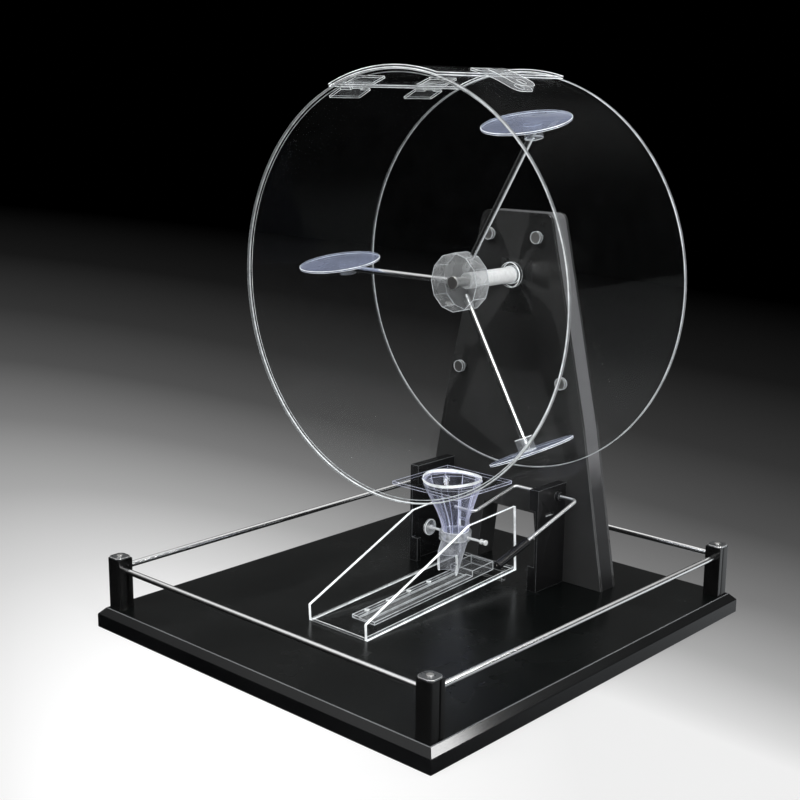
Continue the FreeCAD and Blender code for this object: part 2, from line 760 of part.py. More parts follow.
def arch_points(grow):
    """The arch between the tower's legs, widened by 'grow', from right foot to left foot."""
    return [
        (centre_x + arch_foot_half + grow, base_top),
        (centre_x + arch_top_half + grow, arch_z + grow),
        (centre_x - arch_top_half - grow, arch_z + grow),
        (centre_x - arch_foot_half - grow, base_top),
    ]


def round_top(body, inset):
    """Rounds the two upper corners of a tower plate."""
    top = tower_top - inset
    return soften(body, tower_round - inset, V(0, 1, 0), lambda p: near(p.z, top))


def tower_plate(start, thick, inset, grow, holes):
    outline = tower_points(inset) + arch_points(grow)
    return round_top(plate("tower_sheet", "XZ_Plane", -start, thick, outline, holes, True), inset)


shaft_clear = [(centre_x, axis_z, shaft_wide / 2 + 1)]
drum_holes = [(centre_x + dx, axis_z + dz, drum_screw_bore / 2) for dx, dz in SCREW_SPOTS]
front_sheet = tower_plate(tower_front, tower_wall, term(0), term(0), shaft_clear + drum_holes)

fittings_z = base_top + panel_fittings_rise
switch_x = centre_x - panel_fittings_gap / 2
socket_x = centre_x + panel_fittings_gap / 2
screw_low_x = arch_foot_half + (tower_foot_half - arch_foot_half) / 2
COVER_SPOTS = [
    (-tower_top_half + tower_round * 1.3, tower_top - tower_round * 1.3),
    (tower_top_half - tower_round * 1.3, tower_top - tower_round * 1.3),
    (-tower_knee_half + tower_round * 1.3, knee_z),
    (tower_knee_half - tower_round * 1.3, knee_z),
    (-screw_low_x, base_top + tower_round * 1.5),
    (screw_low_x, base_top + tower_round * 1.5),
]
cover_holes = [(centre_x + dx, z, tower_screw_bore / 2) for dx, z in COVER_SPOTS]
back_sheet = tower_plate(tower_back - tower_wall, tower_wall, term(0), term(0), cover_holes)
switch_cut = box(switch_x - switch_wide / 2, tower_back - tower_wall, fittings_z - switch_tall / 2,
                 switch_wide, tower_wall, switch_tall)
socket_cut = box(socket_x - socket_wide / 2, tower_back - tower_wall, fittings_z - socket_tall / 2,
                 socket_wide, tower_wall, socket_tall)


def leg_zone():
    """The space up to the arch's top, where each tower sheet is a pair of separate legs."""
    wide = tower_foot_half * 4
    return box(centre_x - wide / 2, tower_front, base_top, wide, tower_deep, arch_rise)


node("tower_back_cover", cut(back_sheet, switch_cut, socket_cut, leg_zone()))

band_start = tower_front + tower_wall
band_deep = tower_deep - tower_wall * 2


def tower_band():
    """The outer skin between the two sheets: up one side, over the top and down the other."""
    outer = plate("band_outer", "XZ_Plane", -band_start, band_deep, tower_points(term(0)), (), True)
    core = plate("band_core", "XZ_Plane", -band_start, band_deep, tower_points(tower_wall), (), True)
    return cut(round_top(outer, term(0)), round_top(core, tower_wall))


def arch_lining():
    """The inner skin round the arch between the tower's legs."""
    outer = plate("arch_outer", "XZ_Plane", -band_start, band_deep, arch_points(tower_wall), (), True)
    core = plate("arch_core", "XZ_Plane", -band_start, band_deep, arch_points(term(0)), (), True)
    return cut(outer, core)


node("tower_outer_band", tower_band())
lining = arch_lining()


def cover_screw(dx, z):
    """A round-headed screw through the back cover into a short pillar inside the tower."""
    x = centre_x + dx
    tip = tower_back - tower_screw_long
    thread = tower_screw_bore / 2
    pillar = rod(x, band_start, z, tower_screw_wide / 2, band_deep, ALONG_Y)
    socket = rod(x, tip, z, thread, tower_screw_long - tower_wall, ALONG_Y)
    shank = rod(x, tip, z, thread, tower_screw_long, ALONG_Y)
    head = rod(x, tower_back, z, tower_screw_wide / 2, tower_screw_head, ALONG_Y)
    return cut(pillar, socket), fuse(shank, head)


cover_pairs = [cover_screw(dx, z) for dx, z in COVER_SPOTS]
front_whole = fuse(front_sheet, *[pair[0] for pair in cover_pairs])
node("tower_front_panel", cut(front_whole, leg_zone()))
node("tower_legs", group(lining, common(front_whole, leg_zone()), common(back_sheet, leg_zone())))
node("tower_cover_screws", group(*[pair[1] for pair in cover_pairs]))

# ---------------------------------------------------------------- motor, switch and socket
gearbox_low = axis_z - gearbox_tall + gearbox_below
gear_block = box(centre_x - gearbox_wide / 2, band_start, gearbox_low, gearbox_wide, band_deep, gearbox_tall)
gear_bore = rod(centre_x, band_start, axis_z, shaft_wide / 2 + shaft_play, shaft_in_gearbox, ALONG_Y)
node("gearbox", cut(gear_block, gear_bore))
motor_y = band_start + band_deep / 2
node("drive_motor", rod(centre_x, motor_y, gearbox_low - motor_long, motor_wide / 2, motor_long))


def power_socket():
    """A low-voltage inlet: a block through the back cover with a round plug hole."""
    start = tower_back - socket_reach
    block = box(socket_x - socket_wide / 2, start, fittings_z - socket_tall / 2,
                socket_wide, socket_reach, socket_tall)
    hole = rod(socket_x, start + 3, fittings_z, socket_hole / 2, socket_reach, ALONG_Y)
    return cut(block, hole)


def switch_frame():
    """The fixed box of the rocker switch, open to the back, with a thin rim."""
    start = tower_back - switch_reach
    low = fittings_z - switch_tall / 2
    left = switch_x - switch_wide / 2
    block = box(left, start, low, switch_wide, switch_reach, switch_tall)
    proud = switch_rim / 2
    rim_wide = switch_wide + switch_rim
    rim = box(left - proud, tower_back, low - proud, rim_wide, proud, switch_tall + switch_rim)
    room_x = switch_wide - switch_rim * 2
    room_z = switch_tall - switch_rim * 2
    room = box(left + switch_rim, start + switch_rim, low + switch_rim, room_x, switch_reach, room_z)
    return cut(fuse(block, rim), room)


rocker_pivot_y = tower_back - switch_rim * 1.5


def switch_rocker():
    """The tilting key: a flat-backed paddle that leans about its middle."""
    wide = switch_wide - switch_rim * 2 - rocker_play * 2
    tall = switch_tall - switch_rim * 2 - rocker_play * 4
    left = switch_x - wide / 2
    front = rocker_pivot_y - switch_rim
    key = box(left, front, fittings_z - tall / 2, wide, switch_rim * 3.4, tall)
    pivot = rod(left, front, fittings_z, switch_rim, wide, ALONG_X)
    return fuse(key, pivot)


node("power_socket", power_socket())
node("power_switch_frame", switch_frame())
node("power_switch_rocker", switch_rocker())

# ---------------------------------------------------------------- rotor
hub_front = hub_y - hub_long / 2
hub_back = hub_y + hub_long / 2


def along_y(thing, y):
    return place(thing, centre_x, y, axis_z, ALONG_Y)


def spoke(angle, start, long, radius):
    """A rod that points away from the rotor axis at an angle in the plane of the hub's middle."""
    turn = FreeCAD.Rotation(V(0, 1, 0), 90 - angle)
    tilt = Term(angle, repr(float(angle)))
    made = bind(fresh("Part::Cylinder", "spoke"), Radius=radius, Height=long)
    return place(made, centre_x + cos(tilt) * start, hub_y, axis_z + sin(tilt) * start, turn)


# Each arm: its angle, how far its paddle's middle stands from the axis, the paddle's facing
# direction, and how far the paddle sits off its clamp, along the drum and away from the axis.
ARMS = {
    "left": {
        "angle": 180, "reach": drum_inner - paddle_radius - rim_gap_left, "facing": (-0.03, -0.17, 0.985),
        "aside": size("aside_left", -11), "outward": size("outward_left", 0),
    },
    "upper": {
        "angle": 60, "reach": drum_inner - paddle_radius * 0.7 - rim_gap_upper,
        "facing": (0.02, -0.25, 0.968),
        "aside": size("aside_upper", 0), "outward": size("outward_upper", -7),
    },
    "lower": {
        "angle": -60, "reach": drum_inner - paddle_radius * 0.6 - rim_gap_lower,
        "facing": (-0.40, -0.08, 0.913),
        "aside": size("aside_lower", 0), "outward": size("outward_lower", 5),
    },
}
doc.recompute()


def facing_turn(direction):
    return FreeCAD.Rotation(V(0, 0, 1), V(*direction))


def paddle_parts(arm):
    """The clamp on an arm's end and the round paddle on top of the clamp."""
    angle = math.radians(arm["angle"])
    facing = V(*arm["facing"]).normalize()
    if arm["angle"] < 0:
        facing = V(-facing.x, -facing.y, -facing.z)
    turn = facing_turn((facing.x, facing.y, facing.z))
    out = V(math.cos(angle), 0, math.sin(angle))
    middle = V(centre_x.value, hub_y.value, axis_z.value) + out * arm["reach"].value
    clamp = bind(fresh("Part::Cylinder", "clamp"), Radius=clamp_radius, Height=clamp_below + paddle_rise)
    clamp.Placement = FreeCAD.Placement(middle - facing * clamp_below.value, turn)
    rod_long = arm["reach"] - arm_root + clamp_radius / 2
    arm_rod = spoke(arm["angle"], arm_root, rod_long, arm_wide / 2)
    bore = spoke(arm["angle"], arm_root, rod_long, arm_wide / 2)
    disc = bind(fresh("Part::Cylinder", "paddle"), Radius=paddle_radius, Height=paddle_thick)
    seat = middle + facing * paddle_rise.value
    across = V(0, 1, 0) * arm["aside"].value + V(1, 0, 0) * arm["outward"].value
    across = across - facing * across.dot(facing)
    disc.Placement = FreeCAD.Placement(seat + across, turn)
    return arm_rod, cut(clamp, bore), disc


hub_prism = bind(fresh("Part::Prism", "hub"), Circumradius=hub_radius, Height=hub_long)
hub_prism.Polygon = hub_sides
along_y(hub_prism, hub_front)
hub_bore = rod(centre_x, hub_front, axis_z, shaft_wide / 2, hub_long, ALONG_Y)
hub_sockets = [spoke(arm["angle"], arm_root, hub_radius, arm_wide / 2) for arm in ARMS.values()]
node("rotor_hub", cut(hub_prism, hub_bore, *hub_sockets))
for name, arm in ARMS.items():
    arm_rod, clamp, disc = paddle_parts(arm)
    node("arm_" + name, arm_rod)
    node("paddle_clamp_" + name, clamp)
    node("paddle_" + name, disc)

shaft_long = band_start + shaft_in_gearbox - 0.5 - hub_front
shaft = rod(centre_x, hub_front, axis_z, shaft_wide / 2, shaft_long, ALONG_Y)
head_start = hub_front - shaft_head_long
shaft_head = rod(centre_x, head_start, axis_z, shaft_head_wide / 2, shaft_head_long, ALONG_Y)
node("rotor_shaft", fuse(shaft, shaft_head))
sleeve_long = room_back - sleeve_end_gap - hub_back
sleeve_solid = rod(centre_x, hub_back, axis_z, sleeve_wide / 2, sleeve_long, ALONG_Y)
sleeve_bore = rod(centre_x, hub_back, axis_z, shaft_wide / 2, sleeve_long, ALONG_Y)
node("shaft_sleeve", cut(sleeve_solid, sleeve_bore))
flange_start = room_back - flange_thick
flange_solid = rod(centre_x, flange_start, axis_z, flange_wide / 2, flange_thick, ALONG_Y)
flange_bore = rod(centre_x, flange_start, axis_z, sleeve_wide / 2 + flange_play, flange_thick, ALONG_Y)
node("shaft_flange", cut(flange_solid, flange_bore))


# ---------------------------------------------------------------- outlet
neck_y = room_middle + neck_back
neck_inner = (ball_wide + neck_play) / 2
neck_outer = neck_inner + outlet_wall
facet_ratio = math.cos(math.pi / 10)
neck_z = base_top + neck_rise


def ring_of_ten(y, z, inner_radius, grow):
    """A ten-sided outline whose flats stand at the given radius from its middle."""
    made = fresh("Part::RegularPolygon", "ring")
    made.Polygon = 10
    bind(made, Circumradius=(inner_radius + grow) / facet_ratio)
    return place(made, centre_x, y, z)


def loft(rings):
    made = fresh("Part::Loft", "loft")
    made.Sections = rings
    made.Solid = True
    made.Ruled = False
    return made


def funnel_shell(grow, long_top, long_bottom):
    """The funnel's body: wide under the drum, narrowing and leaning back to the neck."""
    top = drum_bottom + 5 + long_top
    drop = drum_bottom - neck_z
    rings = [
        ring_of_ten(room_middle, top, outlet_radius + 0.8, grow),
        ring_of_ten(room_middle + neck_back * 0.2, drum_bottom - drop * 0.3, outlet_radius * 0.8, grow),
        ring_of_ten(room_middle + neck_back * 0.65, drum_bottom - drop * 0.64, neck_inner * 1.35, grow),
        ring_of_ten(neck_y, neck_z, neck_inner, grow),
        ring_of_ten(neck_y, neck_z - neck_long - long_bottom, neck_inner, grow),
    ]
    return loft(rings)


crank_axis_z = base_top + crank_axis_rise
crank_inner_end_y = crank_axis_y - cos(crank_inner_dip) * crank_inner_long
crank_inner_end_z = crank_axis_z - sin(crank_inner_dip) * crank_inner_long


def gate_path(step, radius_change):
    """A point beside the arc that the gate rod follows, step degrees below its rest position."""
    dip = crank_inner_dip + step
    reach = crank_inner_long + radius_change
    return crank_axis_y - cos(dip) * reach, crank_axis_z - sin(dip) * reach


def gate_slot():
    """The curved slot in the funnel that lets the gate rod swing down and back."""
    spare = crank_wide / 2 + gate_slot_play
    extra = term(3)
    steps = [-extra, crank_travel / 2, crank_travel + extra]
    front = [gate_path(step, spare) for step in steps]
    rear = [gate_path(step, -spare) for step in reversed(steps)]
    start = centre_x + crank_stub_end - gate_slot_play
    return plate("gate_slot", "YZ_Plane", start, crank_inner_x - crank_stub_end + neck_outer, front + rear)


drum_core = rod(centre_x, drum_front, axis_z, drum_outer, drum_deep, ALONG_Y)
flange_low = drum_bottom - outlet_flange_thick
half_flange = flange_side / 2
flange_plate = box(centre_x - half_flange, room_middle - half_flange, flange_low,
                   flange_side, flange_side, outlet_flange_thick)
funnel_outer = fuse(flange_plate, funnel_shell(outlet_wall, term(0), term(0)))
node("outlet_funnel", cut(funnel_outer, funnel_shell(term(0), term(1), term(1)), drum_core, gate_slot()))

collar_z = base_top + collar_rise
collar_ring = rod(centre_x, neck_y, collar_z, neck_outer / facet_ratio + collar_wall, collar_long)
collar_bore = fresh("Part::Prism", "collar_bore")
bind(collar_bore, Circumradius=neck_outer / facet_ratio, Height=collar_long)
collar_bore.Polygon = 10
place(collar_bore, centre_x, neck_y, collar_z)
stay_z = collar_z + collar_long / 2
stay_seat = neck_outer / facet_ratio + 0.6
stay_bore = rod(centre_x - tray_wide, neck_y, stay_z, stay_wide / 2, tray_wide * 2, ALONG_X)
node("outlet_collar", cut(collar_ring, collar_bore, stay_bore))


def outlet_spout():
    """A short leaning tube under the collar that opens into a half-round chute."""
    turn = FreeCAD.Rotation(V(1, 0, 0), 180 - spout_tilt.value)
    top_z = neck_z - neck_long
    long = spout_long
    outer = rod(centre_x, neck_y, top_z, neck_outer, long, turn)
    inner = rod(centre_x, neck_y, top_z, neck_inner, long, turn)
    lead = rod(centre_x, neck_y, top_z - 1, neck_inner, neck_long)
    left = centre_x - neck_outer * 2
    wide = neck_outer * 4
    ahead = neck_outer * 6
    open_deep = ahead - sin(spout_tilt) * spout_full_long - neck_outer * 0.45
    open_tall = top_z - base_top - spout_full_long
    open_front = box(left, neck_y - ahead, base_top, wide, open_deep, open_tall)
    crown = box(left, neck_y - neck_outer * 4, top_z, wide, neck_outer * 8, neck_outer)
    floor_z = base_top + sin(tray_pitch) * (neck_y - tray_front) + tray_sheet + ramp_thick + 1.5
    ground = box(left, neck_y - ahead, 0, wide, neck_outer * 12, floor_z)
    return cut(outer, inner, lead, open_front, crown, ground)


node("outlet_spout", outlet_spout())

# ---------------------------------------------------------------- tray
TRAY_TURN = FreeCAD.Rotation(V(1, 0, 0), tray_pitch.value)


def set_on_slope(thing):
    """Tips a tray piece about the tray's front lower edge and puts it on the base."""
    return place(thing, centre_x, tray_front, base_top, TRAY_TURN)


def on_slope(y, z):
    """Where a point (y, z) of the machine lies in the tipped tray's own (along, up) measure."""
    dy = y - tray_front
    dz = z - base_top
    return dy * cos(tray_pitch) + dz * sin(tray_pitch), dz * cos(tray_pitch) - dy * sin(tray_pitch)


def slope_box(x, y, z, long_x, long_y, long_z):
    """A box in tray measure: its corner is turned with the tray before it is placed."""
    made = bind(fresh("Part::Box", "slope_box"), Length=long_x, Width=long_y, Height=long_z)
    y, z = term(y), term(z)
    up = y * sin(tray_pitch) + z * cos(tray_pitch)
    back = y * cos(tray_pitch) - z * sin(tray_pitch)
    return place(made, centre_x + x, tray_front + back, base_top + up, TRAY_TURN)


def slope_rod(x, y, z, radius, long):
    made = bind(fresh("Part::Cylinder", "slope_rod"), Radius=radius, Height=long)
    y, z = term(y), term(z)
    up = y * sin(tray_pitch) + z * cos(tray_pitch)
    back = y * cos(tray_pitch) - z * sin(tray_pitch)
    return place(made, centre_x + x, tray_front + back, base_top + up, TRAY_TURN)


stay_on_slope = on_slope(neck_y, stay_z)


def tray_wall(side):
    """A side sheet: low at the front, rising to a level rear part."""
    start = tray_wide / 2 - tray_sheet if side > 0 else -tray_wide / 2
    outline = [
        (term(0), term(0)), (tray_long, term(0)), (tray_long, tray_rear_tall),
        (tray_long - tray_flat_long, tray_rear_tall), (term(0), tray_front_tall),
    ]
    hole = [(stay_on_slope[0], stay_on_slope[1], stay_wide / 2)]
    return set_on_slope(plate("tray_side", "YZ_Plane", start, tray_sheet, outline, hole))


node("tray_wall_left", tray_wall(-1))
node("tray_wall_right", tray_wall(1))
tray_inside = tray_wide - tray_sheet * 2
node("tray_floor", slope_box(-tray_inside / 2, 0, 0, tray_inside, tray_long, tray_sheet))

ramp_low = ramp_off_centre - ramp_wide / 2
RAMP_SCREWS = [ramp_start + ramp_screw_pitch * k + ramp_screw_pitch / 2 for k in range(5)]


stop_block_start = neck_y - tray_front + stop_block_gap
stop_block_long = ramp_start + ramp_long - stop_block_start


def guide_ramp():
    """A grooved guide strip along the tray floor with a stop block at its rear end."""
    strip = slope_box(ramp_low, ramp_start, tray_sheet, ramp_wide, ramp_long, ramp_thick)
    block_top = ramp_thick + stop_block_tall
    block = slope_box(ramp_low, stop_block_start, tray_sheet, ramp_wide, stop_block_long, block_top)
    groove_low = tray_sheet + ramp_thick - ramp_groove_deep
    groove_left = ramp_off_centre - ramp_groove_wide / 2
    groove = slope_box(groove_left, ramp_start, groove_low,
                       ramp_groove_wide, ramp_long - stop_block_long, ramp_groove_deep)
    bores = [slope_rod(ramp_low + ramp_screw_wide, y, tray_sheet, ramp_screw_wide / 4, ramp_thick)
             for y in RAMP_SCREWS[:4]]
    return cut(fuse(strip, block), groove, *bores)


def ramp_screw(y):
    x = ramp_low + ramp_screw_wide
    shank = slope_rod(x, y, tray_sheet, ramp_screw_wide / 4, ramp_thick)
    head = slope_rod(x, y, tray_sheet + ramp_thick, ramp_screw_wide / 2, ramp_screw_head)
    return fuse(shank, head)


node("guide_ramp", guide_ramp())
node("ramp_screws", group(*[ramp_screw(y) for y in RAMP_SCREWS[:4]]))

prop_y = tray_front + tray_long * cos(tray_pitch) - prop_thick * 2
prop_block = box(centre_x - prop_wide / 2, prop_y, base_top, prop_wide, prop_thick, tray_rear_tall)
above_slope = slope_box(-tray_wide, -tray_long, 0, tray_wide * 2, tray_long * 3, tray_rear_tall * 3)
node("tray_prop", cut(prop_block, above_slope))


def stay(side):
    """A long screw from a tray wall to the collar, with a head outside and a nut inside."""
    wall = tray_wide / 2
    long = wall - stay_seat + stay_nut_long
    if side > 0:
        start = centre_x + stay_seat
        head_x = centre_x + wall
        nut_x = centre_x + wall - tray_sheet - stay_nut_long
    else:
        start = centre_x - stay_seat - long
        head_x = centre_x - wall - stay_nut_long
        nut_x = centre_x - wall + tray_sheet + disc_thick
    shank = rod(start, neck_y, stay_z, stay_wide / 2, long, ALONG_X)
    head = rod(head_x, neck_y, stay_z, stay_nut_wide / 2, stay_nut_long, ALONG_X)
    nut = rod(nut_x, neck_y, stay_z, stay_nut_wide / 2, stay_nut_long, ALONG_X)
    return fuse(shank, head, nut)


node("outlet_stays", group(stay(-1), stay(1)))
disc_x = centre_x - tray_wide / 2 + tray_sheet
disc_solid = rod(disc_x, neck_y, stay_z, disc_wide / 2, disc_thick, ALONG_X)
disc_bore = rod(disc_x, neck_y, stay_z, stay_wide / 2, disc_thick, ALONG_X)
node("stay_disc", cut(disc_solid, disc_bore))

# ---------------------------------------------------------------- crank stand
crank_bore = crank_wide / 2 + crank_play


def cheek_right_side():
    """The right cheek: a plate with a bearing block, a foot, a sight slot and the crank's boss."""
    face = centre_x + cheek_reach_right
    inner = face - cheek_thick
    deep = tower_front - cheek_front_right
    sheet = box(inner, cheek_front_right, base_top, cheek_thick, deep, cheek_tall)
    block_x = inner - block_thick
    block_z = base_top + cheek_tall - block_tall
    block = box(block_x, cheek_front_right, block_z, block_thick, deep, block_tall)
    foot = box(block_x, cheek_front_right, base_top, block_thick, cheek_foot_deep, cheek_foot_tall)
    boss = rod(face, crank_axis_y, crank_axis_z, boss_wide / 2, boss_long, ALONG_X)
    slot = box(inner, cheek_front_right + slot_back, base_top + slot_rise, cheek_thick, slot_long, slot_tall)
    long = block_thick + cheek_thick + boss_long
    bore = rod(inner - block_thick, crank_axis_y, crank_axis_z, crank_bore, long, ALONG_X)
    return cut(fuse(sheet, block, foot, boss), slot, bore)


def cheek_left_side():
    """The left cheek: the same plate and block without the crank's hole."""
    face = centre_x - cheek_reach_left
    deep = tower_front - cheek_front_left
    sheet = box(face, cheek_front_left, base_top, cheek_thick, deep, cheek_tall)
    block = box(face + cheek_thick, cheek_front_left, base_top + cheek_tall - block_tall,
                block_thick, deep, block_tall)
    inner = face + cheek_thick
    foot = box(inner, cheek_front_left, base_top, block_thick, cheek_foot_deep, cheek_foot_tall)
    return fuse(sheet, block, foot)


node("crank_cheek_right", cheek_right_side())
node("crank_cheek_left", cheek_left_side())


# ---------------------------------------------------------------- crank
def bent_wire(points, radius, bend):
    """A round wire along straight runs joined by tangent arcs of one bend radius."""
    edges = []
    start = points[0]
    for before, corner, after in zip(points, points[1:], points[2:]):
        into = (corner - before).normalize()
        out = (after - corner).normalize()
        half = into.getAngle(out) / 2
        cutback = bend * math.tan(half)
        first = corner - into * cutback
        second = corner + out * cutback
        inward = (out - into).normalize()
        centre = corner + inward * (bend / math.cos(half))
        middle = centre - inward * bend
        edges.append(Part.LineSegment(start, first).toShape())
        edges.append(Part.Arc(first, middle, second).toShape())
        start = second
    edges.append(Part.LineSegment(start, points[-1]).toShape())
    path = Part.Wire(edges)
    tangent = (points[1] - points[0]).normalize()
    profile = Part.Wire([Part.Circle(points[0], tangent, radius).toShape()])
    return path.makePipeShell([profile], True, True)


def crank_points():
    """The crank's corner points: gate rod, inner arm, spindle, outer arm and grip."""
    x_stub = centre_x.value + crank_stub_end.value
    x_inner = centre_x.value + crank_inner_x.value
    x_outer = centre_x.value + crank_outer_x.value
    axis = (crank_axis_y.value, crank_axis_z.value)
    outer_y = axis[0] - cos(crank_outer_dip).value * crank_outer_long.value
    outer_z = axis[1] - sin(crank_outer_dip).value * crank_outer_long.value
    return [
        V(x_stub, crank_inner_end_y.value, crank_inner_end_z.value),
        V(x_inner, crank_inner_end_y.value, crank_inner_end_z.value),
        V(x_inner, axis[0], axis[1]),
        V(x_outer, axis[0], axis[1]),
        V(x_outer, outer_y, outer_z),
    ]


wire = doc.addObject("Part::Feature", "crank_wire_shape")
wire.Shape = bent_wire(crank_points(), crank_wide.value / 2, crank_bend.value)
wire.Placement = FreeCAD.Placement()
node("crank_wire", wire)


def crank_grip():
    """A sleeve on the outer arm's free end."""
    turn = FreeCAD.Rotation(V(0, 0, 1), V(0, -cos(crank_outer_dip).value, -sin(crank_outer_dip).value))
    start = crank_outer_long - grip_long
    y = crank_axis_y - cos(crank_outer_dip) * start
    z = crank_axis_z - sin(crank_outer_dip) * start
    x = centre_x + crank_outer_x
    outer = rod(x, y, z, grip_wide / 2, grip_long + 1.5, turn)
    bore = rod(x, y, z, crank_wide / 2, grip_long, turn)
    return cut(outer, bore)


node("crank_grip", crank_grip())

# ---------------------------------------------------------------- check and write
doc.recompute()
os.makedirs("parts", exist_ok=True)
faults = []
for thing in doc.Objects:
    if "Invalid" in thing.State or "Error" in thing.State:
        faults.append(thing.Name + " " + ",".join(thing.State))
for name, thing in NODES.items():
    if thing.Shape.isNull() or not thing.Shape.isValid() or not thing.Shape.Solids:
        faults.append(name + " has no sound shape")
if faults:
    raise RuntimeError("; ".join(faults))
for name, thing in NODES.items():
    thing.Shape.exportStep("parts/" + name + ".step")
    print(name, len(thing.Shape.Solids), round(thing.Shape.Volume, 1))
print(len(NODES), "nodes written")
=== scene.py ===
# %% [markdown]
# # A raffle drum in clear acrylic, step by step
# A clear drum stands on a black tower. Inside it a small motor turns three round paddles that
# toss the balls. A ball drops through a funnel, waits at a wire gate, and rolls down a clear
# tray when the crank is pressed. The solid parts arrive as a fixed frame, in metres, with
# +X to the right, +Y to the back and +Z up. This lesson gives them their finishes, and makes
# smoother pieces where light runs along a long curve.

# %% Load the frame
import bpy
import json
import math
import numpy as np
from mathutils import Matrix, Vector


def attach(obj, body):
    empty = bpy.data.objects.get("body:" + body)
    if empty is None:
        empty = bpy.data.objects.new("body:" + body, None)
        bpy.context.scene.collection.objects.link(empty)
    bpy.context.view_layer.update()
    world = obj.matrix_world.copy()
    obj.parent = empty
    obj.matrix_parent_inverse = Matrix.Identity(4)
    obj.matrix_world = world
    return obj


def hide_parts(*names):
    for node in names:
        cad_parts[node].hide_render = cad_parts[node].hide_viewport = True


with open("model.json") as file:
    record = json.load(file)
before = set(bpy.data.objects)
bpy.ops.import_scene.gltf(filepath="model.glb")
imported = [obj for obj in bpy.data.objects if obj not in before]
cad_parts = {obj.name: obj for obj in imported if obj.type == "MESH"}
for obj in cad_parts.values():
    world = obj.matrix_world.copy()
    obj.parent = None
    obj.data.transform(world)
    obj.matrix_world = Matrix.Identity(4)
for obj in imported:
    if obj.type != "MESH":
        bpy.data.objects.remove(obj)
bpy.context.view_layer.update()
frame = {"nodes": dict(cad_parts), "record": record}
print("the frame holds", len(frame["nodes"]), "nodes")

# %% [markdown]
# ## The camera
# The machine is looked at from its front right corner, from a little above the drum's axis.
# A long lens keeps the two round plates close to true ellipses. Three angles and a place are
# enough to set a camera: the heading, the downward pitch and a touch of roll. They are turned
# into a rotation matrix, because that shows what each column means: right, up and backwards.

# %% Set the camera
HEADING, PITCH, ROLL = math.radians(42.45), math.radians(12.55), math.radians(0.556)
EYE = Vector((0.86113, -0.98084, 0.52287))
SENSOR, LENS = 36, 60.15


def camera_matrix(heading, pitch, roll, place):
    """Columns of the matrix: right, up, minus forward. Roll turns right and up about forward."""
    level = math.cos(pitch)
    forward = Vector((-math.sin(heading) * level, math.cos(heading) * level, -math.sin(pitch)))
    level_right = Vector((math.cos(heading), math.sin(heading), 0))
    level_up = level_right.cross(forward)
    right = level_right * math.cos(roll) + level_up * math.sin(roll)
    up = level_up * math.cos(roll) - level_right * math.sin(roll)
    turn = Matrix((right, up, -forward)).transposed()
    return Matrix.Translation(place) @ turn.to_4x4()


camera = bpy.data.objects.new("camera", bpy.data.cameras.new("camera"))
camera.data.sensor_width = SENSOR
camera.data.lens = LENS
camera.matrix_world = camera_matrix(HEADING, PITCH, ROLL, EYE)
bpy.context.scene.collection.objects.link(camera)
bpy.context.scene.camera = camera
print("camera stands", round(EYE.length, 3), "m from the base's middle")

# %% [markdown]
# ## Nodes in short form
# A finish is a small graph of nodes. Writing each node and link by hand is long, so a helper
# adds one node, sets its sockets, and links whatever is handed to it that is itself a socket.
# Steps that come back in every finish have a short name of their own: a sum, a change of
# range, a soft cloud and a blend. With them a whole finish fits in a dozen readable lines.

# %% A helper for finishes
class Finish:
    """One material or world and its nodes. A socket is given by its name, with _ for a space,
    or by its number as i0, i1 and so on. A value that is itself a socket is linked."""

    def __init__(self, name, world=None):
        self.output = "OutputWorld" if world else "OutputMaterial"
        self.material = world or bpy.data.materials.new(name)
        self.material.use_nodes = True
        self.tree = self.material.node_tree
        self.tree.nodes.clear()

    def add(self, kind, settings=None, **sockets):
        made = self.tree.nodes.new("ShaderNode" + kind)
        for key, value in (settings or {}).items():
            setattr(made, key, value)
        for key, value in sockets.items():
            by_number = key[0] == "i" and key[1:].isdigit()
            slot = made.inputs[int(key[1:])] if by_number else made.inputs[key.replace("_", " ")]
            if isinstance(value, bpy.types.NodeSocket):
                self.tree.links.new(value, slot)
            else:
                slot.default_value = value
        return made

    def place(self):
        """The piece's own coordinates, in metres."""
        return self.add("TexCoord").outputs["Object"]

    def cloud(self, scale, detail, rough=0.5):
        """Soft noise: a number that mostly stays between 0.3 and 0.7."""
        return self.add("TexNoise", Vector=self.place(), Scale=scale, Detail=detail,
                        Roughness=rough).outputs["Fac"]

    def sum(self, operation, *values):
        """One step of arithmetic on numbers or sockets."""
        sockets = {"i" + str(at): value for at, value in enumerate(values)}
        return self.add("Math", {"operation": operation}, **sockets).outputs["Value"]

    def between(self, value, low, high, first, last):
        """A value that runs from low to high becomes first to last, and is held past both ends."""
        return self.add("MapRange", Value=value, i1=low, i2=high, i3=first, i4=last).outputs["Result"]

    def mix(self, share, one, other):
        """A blend of two shaders: all of the first at share 0, all of the second at share 1."""
        return self.add("MixShader", i0=share, i1=one, i2=other).outputs[0]

    def ramp(self, factor, stops):
        """A colour ramp: stops is a list of (place, (r, g, b))."""
        made = self.add("ValToRGB", Fac=factor)
        line = made.color_ramp.elements
        while len(line) < len(stops):
            line.new(0.5)
        for element, (place, colour) in zip(line, stops):
            element.position = place
            element.color = (*colour, 1)
        return made.outputs["Color"]

    def finish(self, shader):
        out = self.tree.nodes.new("ShaderNode" + self.output)
        self.tree.links.new(shader, out.inputs["Surface"])
        return self.material


print("helper ready:", [name for name in vars(Finish) if name[0] != "_"])

# %% [markdown]
# A tone is easiest to choose as it looks on a screen, from 0 to 255, but light adds up in
# linear numbers. Two small functions turn the first into the second.

# %% Turn screen levels into light
def shade(level):
    """Turns a screen level from 0 to 255 into the linear number that a colour socket wants."""
    x = level / 255
    return x / 12.92 if x <= 0.04045 else ((x + 0.055) / 1.055) ** 2.4


